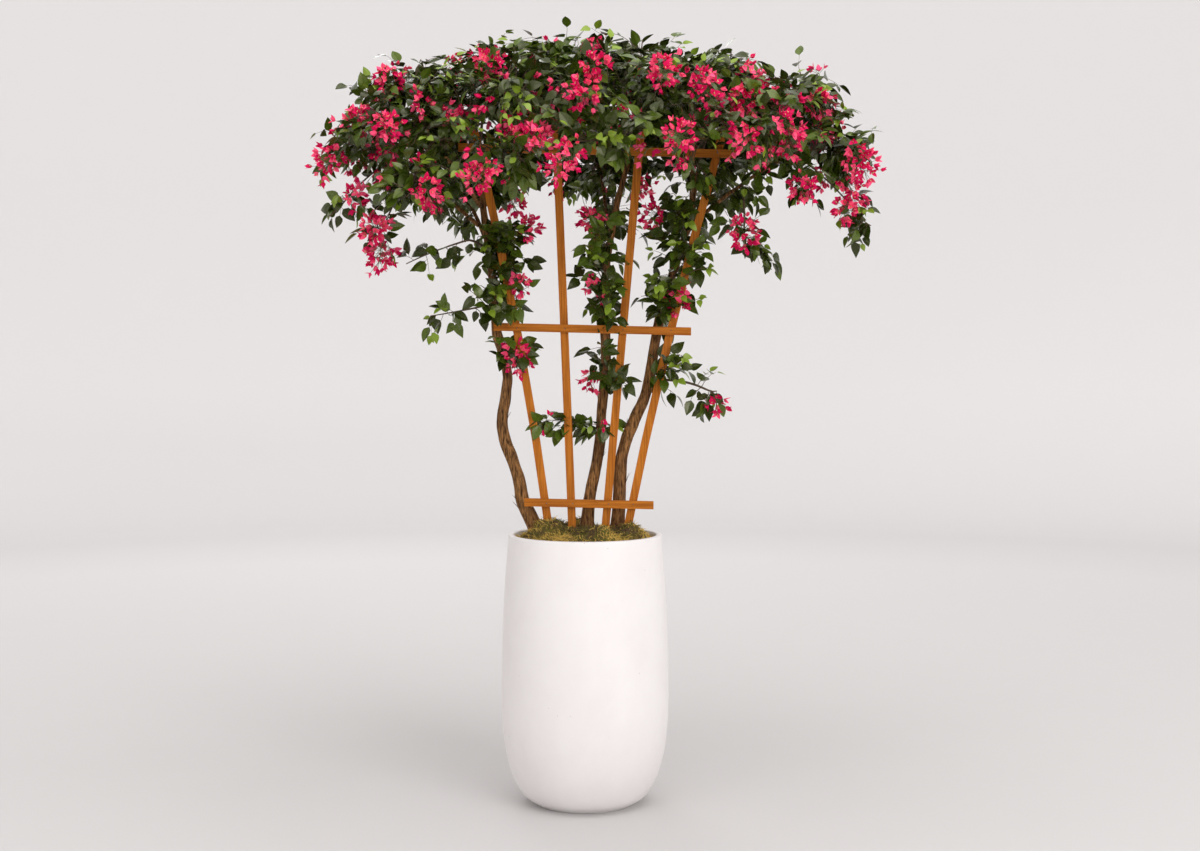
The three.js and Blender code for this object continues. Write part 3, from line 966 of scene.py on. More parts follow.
def stalked(template, long, thick):
    """A blade with a short stalk below its base."""
    points, faces = template
    start = len(points)
    stalk = [(-thick, -long, 0), (thick, -long, 0), (thick, 0.03, 0), (-thick, 0.03, 0)]
    joined = np.concatenate([points, np.array(stalk)])
    more = np.array([(start, start + 1, start + 2), (start, start + 2, start + 3)])
    return joined, np.concatenate([faces, more])


# Each shape's width, fold, curl and how sharply it comes to its point; a leaf's stalk is last.
LEAF_SHAPES = (
    (0.62, 0.28, 0.16, 1.02, 0.16),
    (0.66, 0.14, 0.30, 1.12, 0.20),
    (0.60, 0.48, 0.06, 1.00, 0.14),
    (0.64, 0.06, 0.40, 1.18, 0.22),
)
BRACT_SHAPES = ((0.57, 0.35, -0.22, 0.94), (0.63, 0.15, 0.20, 1.00), (0.52, 0.55, -0.05, 0.90))
STALK_THICK = 0.012
LEAF_TEMPLATES = [
    stalked(blade_template(*blade), stalk, STALK_THICK) for *blade, stalk in LEAF_SHAPES
]
BRACT_TEMPLATES = [blade_template(*blade, rows=4) for blade in BRACT_SHAPES]


def turning(direction, face, size):
    """The matrix that lays a blade along a direction with its face turned one way."""
    y = direction.normalized()
    z = face - y * face.dot(y)
    if z.length < 1e-4:
        z = y.orthogonal()
    z.normalize()
    x = y.cross(z)
    return np.array([[x.x, y.x, z.x], [x.y, y.y, z.y], [x.z, y.z, z.z]]) * size


def random_direction(rng):
    """An even draw of a direction."""
    return Vector((rng.gauss(0, 1), rng.gauss(0, 1), rng.gauss(0, 1))).normalized()


class Blades:
    """Leaves or bracts of one colour, each kept as a template, a turn and a place."""

    def __init__(self, templates):
        self.templates = templates
        self.turns = [[] for _ in templates]
        self.places = [[] for _ in templates]

    def add(self, kind, place, direction, face, size):
        """Takes one blade."""
        self.turns[kind].append(turning(direction, face, size))
        self.places[kind].append(tuple(place))

    def gathered(self):
        """All of them as one joined mesh."""
        joined = Gathered()
        for template, turns, places in zip(self.templates, self.turns, self.places):
            joined.add_copies(template, turns, places)
        return joined


class Mass:
    """One mass of foliage: its surface, its middle and its long axis."""

    def __init__(self, name):
        self.name = name
        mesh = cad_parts[name].data
        self.points = node_points(name)
        self.tree = node_tree(name)
        self.low, self.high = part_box(name)
        self.centre = Vector(self.points.mean(axis=0))
        self.faces = [tuple(p.vertices) for p in mesh.polygons]
        self.normals = [p.normal.copy() for p in mesh.polygons]
        self.areas = [p.area for p in mesh.polygons]
        self.area = sum(self.areas)
        spread = self.points - self.points.mean(axis=0)
        axis = Vector(np.linalg.svd(spread, full_matrices=False)[2][0])
        self.axis = axis
        reach = spread @ np.array(axis)
        self.half = float(reach.max() - reach.min()) / 2
        sizes = sorted(self.high - self.low)
        self.slim = sizes[2] > 1.75 * sizes[1] and sizes[1] < 0.12
        self.width = sizes[0]

    def draw(self, rng):
        """A random point of the surface and the way it faces."""
        index = rng.choices(range(len(self.faces)), self.areas)[0]
        a, b, c = (Vector(self.points[i]) for i in self.faces[index][:3])
        u, v = rng.random(), rng.random()
        if u + v > 1:
            u, v = 1 - u, 1 - v
        return a + (b - a) * u + (c - a) * v, self.normals[index]

    def near(self, point):
        """Whether a point is in the mass's box."""
        return all(self.low[k] < point[k] < self.high[k] for k in range(3))

    def holds(self, point):
        """Whether a point is inside the mass."""
        nearest, normal, _, _ = self.tree.find_nearest(point)
        return (point - nearest).dot(normal) < 0


class Limbs:
    """The paths of the stems and boughs, from which everything else grows."""

    def __init__(self):
        self.points = []
        for stem in STEMS:
            self.points += [(p, r, stem) for p, r in smooth_path(stem_path(stem), 0.02)]
        for bough in BOUGHS:
            path = smooth_path(bough_path(bough), 0.02)
            self.points += [(p, r, bough) for p, r in path[len(path) // 2 :]]

    def nearest(self, point):
        """The nearest limb point, its radius and its limb's name."""
        return min(self.points, key=lambda limb: (limb[0] - point).length)

    def through(self, mass):
        """The points of a stem that runs through a mass."""
        stems = [limb for limb in self.points if limb[2] in STEMS]
        level = [limb for limb in stems if mass.low.z < limb[0].z < mass.high.z]
        near = [limb for limb in level if (limb[0] - mass.centre).length < mass.half * 1.1]
        reach = (mass.high.x - mass.low.x) * 0.42
        through = [limb for limb in near if abs(limb[0].x - mass.centre.x) < reach]
        return through if len(through) > 2 else []


# The masses that make up the crown.
CROWN_ROWS = ("ridge_", "front_", "back_", "left_shoulder", "right_shoulder")


# Where leaves leave the fan's upper rail bare, as shares of its length, and how far round.
RAIL_GAPS = (0.02, 0.67, 0.73, 0.87)
GAP_RADIUS = 0.036
# The ways the crown is looked at while its gaps are closed.
SEAM_LOOKS = (
    (0, 0, -1),
    (0, 1, 0),
    (0, -1, 0),
    (0, 0.7, -0.7),
    (0, -0.7, -0.7),
    (0.5, 0.6, -0.6),
    (-0.5, 0.6, -0.6),
    (0.5, -0.6, -0.6),
    (-0.5, -0.6, -0.6),
    (1, 0, -0.3),
    (-1, 0, -0.3),
)


class Growth:
    """Grows the twigs and leaves of every mass by a seeded branching rule."""

    # Sprays above one height arch more, and the tips of those below the other weep.
    ARCH_LEVEL = 1.62
    WEEP_LEVEL = 1.75
    # How far from the middle the crown's paler edge begins.
    EDGE_REACH = 0.55
    # How deep under its mass's surface a spray arrives, and how far its tip runs on from there.
    DEPTH = (0.040, 0.085)
    STRAY_DEPTH = 0.020
    TIP = (0.020, 0.045)
    SMALL_TIP = (0.008, 0.024)
    # A sleeve or clump sends this share of its sprays forwards between the slats, to these places.
    FORWARD_SHARE = 0.4
    FORWARD_PLACE = (-0.075, -0.040)
    # Seams are looked for at this many times the common spacing, where one side lies no further
    # behind the other than the drift. A spray there arrives this deep and has a tip this long.
    SEAM_STEP = 1.35
    SEAM_DRIFT = 0.2
    SEAM_DEPTH = (0.010, 0.055)
    SEAM_TIP = (0.015, 0.035)
    # How far the leaves at a tip turn from it: one alone or a pair.
    LONE_TIP = (0.15,)
    PAIRED_TIP = (0.55, -0.65)
    # How far a mass's sprays stand apart, as a share of the common spacing.
    SPARSE = {
        "front_lower_2": 0.86,
        "front_lower_3": 0.88,
        "left_shoulder": 1.24,
        "right_shoulder": 1.12,
        "left_sleeve": 1.12,
        "centre_sleeve": 1.15,
        "right_sleeve": 1.12,
        "centre_clump": 1.20,
        "right_clump": 1.60,
        "left_clump": 1.10,
        "left_tip": 1.50,
        "left_hang": 1.25,
        "right_tip": 1.10,
        "right_hang": 1.15,
        "left_twig_upper": 1.75,
        "left_twig_lower": 1.45,
        "right_twig_upper": 1.45,
        "right_twig_lower": 1.60,
        "centre_twig": 1.35,
    }

    def __init__(self, settings, heads):
        self.settings = settings
        self.heads = heads
        self.limbs = Limbs()
        self.twigs = Gathered()
        self.leaves = {kind: Blades(LEAF_TEMPLATES) for kind in ("dark", "middle", "young")}
        self.masses = [Mass(name) for name in MASSES]
        self.spines = {}
        self.low = CAD_LOW
        self.high = CAD_HIGH
        low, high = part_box("rail_upper")
        level = (low.z + high.z) / 2
        places = [low.x + (high.x - low.x) * part for part in RAIL_GAPS]
        self.gaps = [Vector((x, low.y, level)) for x in places]

    def run(self):
        """Grows every mass, closes the seams between them and dresses the boughs."""
        for index, mass in enumerate(self.masses):
            rng = random.Random(self.settings.seed * 1000 + index * 17)
            self.grow(mass, rng)
        rng = random.Random(self.settings.seed * 77)
        crown = [mass for mass in self.masses if mass.name.startswith(CROWN_ROWS)]
        for radius, notch in ((0.07, 0.022), (0.13, 0.08)):
            for look in SEAM_LOOKS:
                self.close_seams(crown, Vector(look).normalized(), radius, notch, rng)
        self.dress_boughs()

    def close_seams(self, crown, look, radius, notch, rng):
        """Sprays over the notches and gaps between masses of the crown, seen from one side."""
        across = look.orthogonal().normalized()
        along = look.cross(across)
        low = Vector(min(mass.low[k] for mass in crown) for k in range(3))
        high = Vector(max(mass.high[k] for mass in crown) for k in range(3))
        middle, half = (low + high) / 2, (high - low) / 2
        wide = sum(abs(across[k] * half[k]) for k in range(3))
        deep = sum(abs(along[k] * half[k]) for k in range(3))
        step = self.settings.spacing * self.SEAM_STEP
        for _ in range(int(4 * wide * deep / step**2)):
            start = middle + across * rng.uniform(-wide, wide) + along * rng.uniform(-deep, deep)
            start -= look * 2
            own = self.first_hit(crown, start, look)
            for way in (across, along):
                pair = [self.first_hit(crown, start + way * s, look) for s in (-radius, radius)]
                if None in pair:
                    continue
                near, far = sorted(pair)
                open_here = own is None or own[0] - far[0] > notch
                if open_here and far[0] - near[0] < self.SEAM_DRIFT:
                    reach = (near[0] + far[0]) / 2 + rng.uniform(*self.SEAM_DEPTH)
                    tip = rng.uniform(*self.SEAM_TIP)
                    self.spray(self.spines[near[1]], start + look * reach, -look, tip, rng)
                    break

    def first_hit(self, crown, start, look):
        """How far a ray runs before it meets the crown, and the mass it meets."""
        best = None
        for mass in crown:
            hit = mass.tree.ray_cast(start, look)
            if hit[0] is not None and (best is None or hit[3] < best[0]):
                best = (hit[3], mass.name)
        return best

    def grow(self, mass, rng):
        """Grows one mass: its main branch, then its sprays."""
        through = self.limbs.through(mass)
        if through:
            spine = [(point, radius * 0.55) for point, radius, _ in through]
        else:
            spine = self.main_branch(mass, rng)
        self.spines[mass.name] = spine
        spacing = self.settings.spacing * self.SPARSE.get(mass.name, 1.0)
        sprays = max(8, round(mass.area / spacing**2))
        small = mass.width < 0.2
        for _ in range(sprays):
            target, outward = mass.draw(rng)
            if self.covered(target, outward, mass) and rng.random() < 0.85:
                continue
            stray = rng.random() < self.settings.stray_share
            if stray:
                depth = self.STRAY_DEPTH
            else:
                depth = min(rng.uniform(*self.DEPTH), mass.width * 0.46)
            tip = rng.uniform(*(self.SMALL_TIP if small and not stray else self.TIP))
            place = target - outward * depth
            on_stem = small and mass.name.endswith(("sleeve", "clump"))
            if on_stem and rng.random() < self.FORWARD_SHARE:
                place.y = rng.uniform(*self.FORWARD_PLACE)
                outward = Vector((0, -1, 0))
            self.spray(spine, place, outward, tip, rng)

    def covered(self, target, outward, mass):
        """Whether another mass lies just outside a place on this one."""
        return all(self.within_other(target + outward * reach, mass) for reach in (0.03, 0.10))

    def within_other(self, probe, mass):
        """Whether a place is inside some other mass."""
        for other in self.masses:
            if other is not mass and other.near(probe) and other.holds(probe):
                return True
        return False

    def main_branch(self, mass, rng):
        """The branch that leaves the nearest limb and runs through the mass."""
        start, radius, _ = self.limbs.nearest(mass.centre)
        if mass.slim:
            ends = [mass.centre + mass.axis * mass.half * s for s in (-0.86, 0.86)]
            ends.sort(key=lambda end: (end - start).length)
            near, far = ends
        else:
            outwards = (mass.centre - start).normalized()
            near, far = mass.centre, mass.centre + outwards * mass.half * 0.5
        span = (near - start).length
        rise = UP * span * 0.16 + random_direction(rng) * span * 0.05
        route = bezier(start, start.lerp(near, 0.5) + rise, near, 6)
        middle = near.lerp(far, 0.5) + random_direction(rng) * mass.half * 0.12
        route += bezier(near, middle, far, 5)[1:]
        thick = min(radius * 0.7, 0.0045)
        fade = len(route) - 1
        knots = [(p, thick + (0.0014 - thick) * i / fade) for i, p in enumerate(route)]
        path = smooth_path(knots, 0.012)
        points, faces = tube([p for p, _ in path], [r for _, r in path], 7)
        self.twigs.add(points, faces)
        return path[len(path) // 4 :]

    def spray(self, spine, target, outward, shoot, rng):
        """One twig from the spine to a place near the mass's surface, with its leaves."""
        distances = [(point - target).length for point, _ in spine]
        closest = distances.index(min(distances))
        back = int(min(distances) * rng.uniform(0.2, 0.6) / TWIG_STEP)
        root, radius = spine[max(0, closest - back)]
        reach = (target - root).length
        if reach < 0.02:
            target = root + outward * 0.04
            reach = 0.04
        rise = 0.22 if target.z > self.ARCH_LEVEL else 0.10
        bend = root.lerp(target, 0.55) + UP * reach * rise + random_direction(rng) * reach * 0.10
        route = bezier(root, bend, target, 7)
        if target.z < self.WEEP_LEVEL:
            hang = DOWN * rng.uniform(0.3, 1.0)
        else:
            hang = UP * rng.uniform(-0.6, 0.4)
        ahead = (route[-1] - route[-2]).normalized() + outward * 0.5 + hang * 0.6
        ahead = (ahead + random_direction(rng) * 0.35).normalized()
        route.append(self.within(route[-1] + ahead * shoot))
        thick = min(radius * 0.6, rng.uniform(0.0012, 0.0018))
        fade = len(route) - 1
        knots = [(p, thick * (1 - 0.55 * i / fade)) for i, p in enumerate(route)]
        path = smooth_path(knots, TWIG_STEP)
        points, faces = tube([p for p, _ in path], [r for _, r in path], 4)
        self.twigs.add(points, faces)
        self.leaf_out(path, outward, rng)

    def within(self, point):
        """A point brought inside the crown's box."""
        low, high = self.low, self.high
        return Vector(min(max(point[k], low[k]), high[k]) for k in range(3))

    def outside(self, point):
        """Whether a point is well out of the crown's box."""
        return any(not self.low[k] - 0.02 < point[k] < self.high[k] + 0.02 for k in range(3))

    def near_head(self, place):
        """Whether a leaf here would hide a head of bracts."""
        return any((place - centre).length < size for centre, size in self.heads)

    def in_gap(self, place):
        """Whether a leaf here would close a gap, which runs forwards and down from the rail."""
        for gap in self.gaps:
            ahead = gap.y - place.y
            aside = place.x - gap.x * (1 - ahead * 0.22)
            below = place.z - gap.z + ahead * 0.125
            if ahead > -0.01 and math.hypot(aside, below) < GAP_RADIUS:
                return True
        return False

    def leaf_out(self, path, outward, rng):
        """Leaves on alternate sides of a spray's outer part, and one or two at its tip."""
        settings = self.settings
        young = rng.random() < settings.young_share
        edge = outward.z < -0.2 or abs(path[-1][0].x) > self.EDGE_REACH
        body = "middle" if rng.random() < (0.50 if edge else 0.30) else "dark"
        run = TWIG_STEP * (len(path) - 1)
        bare = max(0.22, 1 - 0.15 / max(run, 0.02))
        leaves = max(2, int(run * (1 - bare) / settings.leaf_step))
        side = rng.choice((-1, 1))
        roll = rng.uniform(-0.5, 0.5)
        for leaf in range(leaves):
            part = bare + (1 - bare) * (leaf + rng.uniform(0.1, 0.7)) / leaves
            place, along, _ = point_along(path, min(part, 0.97))
            side = -side
            size = settings.leaf * rng.uniform(0.72, 1.12)
            kind = body if rng.random() < 0.85 else "middle"
            if young and part > 0.86:
                kind, size = "young", settings.young_leaf * rng.uniform(0.8, 1.2)
            turn = roll + rng.gauss(0, 0.4)
            self.leaf(kind, place, along, outward, side, turn, rng.uniform(0.75, 1.25), size, rng)
        tip, along = path[-1][0], (path[-1][0] - path[-2][0]).normalized()
        spreads = self.LONE_TIP if rng.random() < 0.6 else self.PAIRED_TIP
        for spread in spreads:
            size = (settings.young_leaf if young else settings.leaf) * rng.uniform(0.70, 1.05)
            turn = roll + rng.gauss(0, 0.4)
            kind = "young" if young else body
            self.leaf(kind, tip, along, outward, side, turn, spread, size, rng)

    def leaf(self, kind, place, along, outward, side, turn, spread, size, rng):
        """One leaf that leaves one side of its twig and lies nearly flat to the light."""
        light = (outward * 0.65 + UP * 0.55 + random_direction(rng) * 0.45).normalized()
        across = along.cross(light)
        if across.length < 0.1:
            across = along.orthogonal()
        across = Matrix.Rotation(turn, 3, along) @ across.normalized()
        direction = along * math.cos(spread) + across * (side * math.sin(spread))
        direction = (direction + DOWN * rng.uniform(0.0, 0.45)).normalized()
        centre = place + direction * size * 0.6
        if self.near_head(centre) or self.in_gap(centre):
            return
        if self.outside(place + direction * size * 1.1):
            return
        template = rng.randrange(len(LEAF_TEMPLATES))
        self.leaves[kind].add(template, place + direction * size * 0.16, direction, light, size)

    def dress_boughs(self):
        """Short leafy twigs along the outer part of every bough."""
        rng = random.Random(self.settings.seed * 31)
        for bough in BOUGHS:
            path = smooth_path(bough_path(bough), 0.01)
            for step in range(len(path) // 5, len(path) - 1):
                place, along, radius = point_along(path, step / (len(path) - 1))
                outward = along.orthogonal().normalized()
                outward = Matrix.Rotation(rng.uniform(0, 2 * math.pi), 3, along) @ outward
                target = place + (outward + along * 0.6) * rng.uniform(0.02, 0.06)
                self.spray([(place, radius)], target, outward, rng.uniform(0.01, 0.03), rng)


class Head:
    """One head of bracts: its middle, the way it faces and its size."""

    def __init__(self, centre, outward, size):
        self.centre = centre
        self.outward = outward
        self.size = size


# The front's showpiece heads: on each mass, seen from the front, how far across and up they sit
# as shares of its box, and their size.
FRONT_HEADS = {
    "left_shoulder": ((0.24, 0.30, 1.2), (0.52, 0.70, 1.3), (0.86, 0.52, 0.9)),
    "left_tip": ((0.85, 0.75, 0.7),),
    "left_hang": ((0.45, 0.50, 1.1),),
    "ridge_1": ((0.25, 0.62, 0.8),),
    "ridge_2": ((0.62, 0.62, 1.0),),
    "ridge_3": ((0.85, 0.75, 0.4),),
    "ridge_5": ((0.75, 0.62, 0.8),),
    "ridge_6": ((0.20, 0.45, 1.1), (0.60, 0.50, 0.7)),
    "front_upper_1": ((0.30, 0.35, 0.9), (0.85, 0.55, 0.9)),
    "front_upper_2": ((0.60, 0.25, 1.1),),
    "front_upper_3": ((0.45, 0.60, 1.3), (0.75, 0.95, 0.7)),
    "front_upper_4": ((0.45, 0.75, 1.2), (0.80, 0.70, 1.2)),
    "front_upper_5": ((0.25, 0.80, 1.2), (0.80, 0.30, 1.1)),
    "front_lower_1": ((0.65, 0.40, 0.8),),
    "front_lower_2": ((0.35, 0.45, 1.1), (0.85, 0.70, 1.1)),
    "front_lower_3": ((0.30, 0.35, 1.2),),
    "front_lower_4": ((0.45, 0.45, 1.1),),
    "front_lower_5": ((0.25, 0.50, 1.0), (0.72, 0.72, 0.7)),
    "right_shoulder": ((0.35, 0.80, 1.0), (0.75, 0.45, 1.2), (0.80, 0.10, 1.1)),
    "right_hang": ((0.45, 0.40, 1.0),),
    "right_tip": ((0.45, 0.75, 0.9),),
    "left_sleeve": ((0.70, 0.85, 0.9), (0.75, 0.40, 0.7)),
    "left_clump": ((0.50, 0.55, 1.0),),
    "centre_sleeve": ((0.35, 0.85, 0.8), (0.40, 0.35, 0.5)),
    "centre_clump": ((0.25, 0.25, 0.4),),
    "right_sleeve": ((0.70, 0.30, 0.9), (0.35, 0.85, 0.9)),
    "right_twig_upper": ((0.30, 0.78, 1.2),),
    "right_twig_lower": ((0.88, 0.12, 0.4),),
    "centre_twig": ((0.22, 0.70, 0.08), (0.86, 0.12, 0.05)),
}
# The masses that carry drawn heads at the back, on top and at the sides.
BACK_MASSES = ("back_", "ridge_", "left_shoulder", "right_shoulder", "left_hang")


class Blossom:
    """The heads of bracts: those of the front by name and the others by a seeded draw."""

    # How much of its mass's surface each drawn head has to itself, and its size.
    HEAD_ROOM = 0.095
    HEAD_SIZES = (0.6, 1.25)
    HEAD_TRIES = 12
    HEAD_CLEARANCE = 0.10
    # The same for the small ones.
    SMALL_ROOM = 0.028
    SMALL_SIZES = (0.06, 0.16)
    # How far a head's root stays inside the plant's box at its sides and at the back.
    SIDE_MARGIN = 0.085
    BACK_MARGIN = 0.065
    STEM_STEPS = 8

    def __init__(self, settings, seed):
        self.settings = settings
        self.rng = random.Random(seed)
        self.heads = []
        self.bracts = {"deep": Blades(BRACT_TEMPLATES), "bright": Blades(BRACT_TEMPLATES)}
        self.stalks = Gathered()
        self.florets = Gathered()

    def place(self):
        """Chooses where every head goes."""
        for name, places in FRONT_HEADS.items():
            mass = Mass(name)
            for across, up, size in places:
                x = mass.low.x + (mass.high.x - mass.low.x) * across
                z = mass.low.z + (mass.high.z - mass.low.z) * up
                hit, normal, _, _ = mass.tree.ray_cast(Vector((x, -3, z)), Vector((0, 1, 0)))
                if hit is None:
                    hit, normal, _, _ = mass.tree.find_nearest(Vector((x, mass.low.y, z)))
                self.heads.append(Head(hit, normal, size))
        for name in MASSES:
            mass = Mass(name)
            if name.startswith(BACK_MASSES):
                for _ in range(max(1, round(mass.area / self.HEAD_ROOM))):
                    self.draw_head(mass)
            if mass.width > 0.15:
                for _ in range(round(mass.area / self.SMALL_ROOM)):
                    place, outward = mass.draw(self.rng)
                    self.heads.append(Head(place, outward, self.rng.uniform(*self.SMALL_SIZES)))

    def draw_head(self, mass):
        """One head on the back, the top or a side, clear of the others."""
        for _ in range(self.HEAD_TRIES):
            place, outward = mass.draw(self.rng)
            seen = outward.y > 0.1 and -0.6 < outward.z < 0.85
            gaps = ((place - head.centre).length for head in self.heads)
            if seen and all(gap > self.HEAD_CLEARANCE for gap in gaps):
                self.heads.append(Head(place, outward, self.rng.uniform(*self.HEAD_SIZES)))
                return

    def spheres(self):
        """The space round each head that leaves keep out of."""
        return [
            (head.centre + head.outward * 0.022, 0.042 * math.sqrt(head.size))
            for head in self.heads
        ]

    def grow(self):
        """Makes the triads of every head."""
        for head in self.heads:
            self.head(head)

    def head(self, head):
        """A loose raceme that leans out of its mass and droops, with triads all round it."""
        rng, size = self.rng, math.sqrt(head.size)
        run = 0.075 * size * rng.uniform(0.85, 1.2)
        tangent = (head.outward * 0.8 + DOWN * 0.35 + random_direction(rng) * 0.5).normalized()
        hang = (random_direction(rng) * 0.5 + DOWN).normalized()
        root = head.centre - head.outward * 0.038
        root.x = max(root.x, CAD_LOW[0] + self.SIDE_MARGIN)
        root.x = min(root.x, CAD_HIGH[0] - self.SIDE_MARGIN)
        root.y = min(root.y, CAD_HIGH[1] - self.BACK_MARGIN)
        tip = root + tangent * run * 0.8 + hang * run * 0.5
        stem = bezier(root, root + tangent * run * 0.6, tip, self.STEM_STEPS)
        points, faces = tube(stem, [0.0011] * len(stem), 4)
        self.stalks.add(points, faces)
        triads = max(2, round(self.settings.triads * head.size * rng.uniform(0.85, 1.15)))
        turn = rng.uniform(0, 2 * math.pi)
        for triad in range(triads):
            part = 0.15 + 0.85 * (triad + rng.random() * 0.6) / triads
            node = stem[min(int(part * self.STEM_STEPS), self.STEM_STEPS)]
            along = (stem[-1] - stem[0]).normalized()
            turn += GOLDEN_ANGLE + rng.uniform(-0.3, 0.3)
            side = Matrix.Rotation(turn, 3, along) @ along.orthogonal().normalized()
            out = (side + along * rng.uniform(-0.2, 0.9) + head.outward * 0.45).normalized()
            if triad >= triads - 2:
                out = (along + random_direction(rng) * 0.4).normalized()
            reach = (0.015 + 0.020 * size) * rng.uniform(0.5, 1.2)
            self.triad(node, node + out * reach, out)

    def triad(self, root, centre, out):
        """Three bracts that open round their small flowers, on a thin stalk."""
        rng = self.rng
        points, faces = tube([root, centre], [0.0006, 0.0006], 3)
        self.stalks.add(points, faces)
        # Nearly half the triads take the lighter coral copy, a painted highlight; the others take the
        # deep crimson pink that is the bracts' own colour.
        shade = "bright" if rng.random() < 0.45 else "deep"
        across = out.orthogonal().normalized()
        first = rng.uniform(0, 2 * math.pi)
        opening = rng.uniform(0.25, 0.85)
        long = self.settings.bract * rng.uniform(0.78, 1.15)
        for bract in range(3):
            side = Matrix.Rotation(first + bract * 2 * math.pi / 3, 3, out) @ across
            tilt = opening + rng.uniform(-0.2, 0.2)
            direction = out * math.cos(tilt) + side * math.sin(tilt)
            face = out * math.sin(tilt) - side * math.cos(tilt) + random_direction(rng) * 0.2
            template = rng.randrange(len(BRACT_TEMPLATES))
            size = long * rng.uniform(0.9, 1.1)
            self.bracts[shade].add(template, centre - out * 0.001, direction, face, size)
        for flower in range(2):
            side = Matrix.Rotation(first + 1 + flower * 2.1, 3, out) @ across
            tip = centre + (out + side * 0.28).normalized() * long * 0.42
            points, faces = tube([centre, tip], [0.0004, 0.0010], 3)
            self.florets.add(points, faces)


class BOUGAINVILLEA_OT_foliage(bpy.types.Operator):
    """Grows the twigs, leaves and heads of bracts of every mass"""

    bl_idname = "bougainvillea.foliage"
    bl_label = "Grow the foliage"

    def execute(self, context):
        settings = context.scene.bougainvillea_foliage
        blossom = Blossom(context.scene.bougainvillea_blossom, settings.seed + 90)
        blossom.place()
        growth = Growth(settings, blossom.spheres())
        growth.run()
        blossom.grow()
        self.make_leaves(settings, growth)
        self.make_blossom(context.scene.bougainvillea_blossom, blossom)
        return {"FINISHED"}

    def make_leaves(self, settings, growth):
        """The joined twigs and leaves, which stand for the masses."""
        bark = plain_leafy("twig_bark", settings.twig, 0.7, 0.95)
        growth.twigs.piece("twigs", bark, "bark")
        gloss = {"dark": (0.17, 0.33), "middle": (0.20, 0.36), "young": (0.28, 0.44)}
        for kind, blades in growth.leaves.items():
            smooth, rough = gloss[kind]
            look = {"Specular_IOR_Level": 0.5, "Specular_Tint": (1.0, 0.94, 0.74)}
            material = plain_leafy(f"leaf_{kind}", getattr(settings, kind), smooth, rough, **look)
            masses = MASSES if kind == "dark" else ()
            joined = blades.gathered()
            joined.piece(f"leaves_{kind}", material, "leaves", masses)

    def make_blossom(self, settings, blossom):
        """The joined bracts, small flowers and their stalks."""
        # The deep bracts have the bracts' own colour; the others carry a painted highlight.
        for kind, blades in blossom.bracts.items():
            look = {"Specular_IOR_Level": 0.3, "Specular_Tint": (1.0, 0.55, 0.68)}
            material = plain_leafy(f"bract_{kind}", getattr(settings, kind), 0.6, 0.8, **look)
            blades.gathered().piece(f"bracts_{kind}", material, "bracts")
        florets = plain_leafy("floret", settings.floret, 0.5, 0.7)
        blossom.florets.piece("florets", florets, "bracts")
        stalks = plain_leafy("stalk", settings.stalk, 0.5, 0.7)
        blossom.stalks.piece("flower_stalks", stalks, "leaves")


# ---------------------------------------------------------------- stage


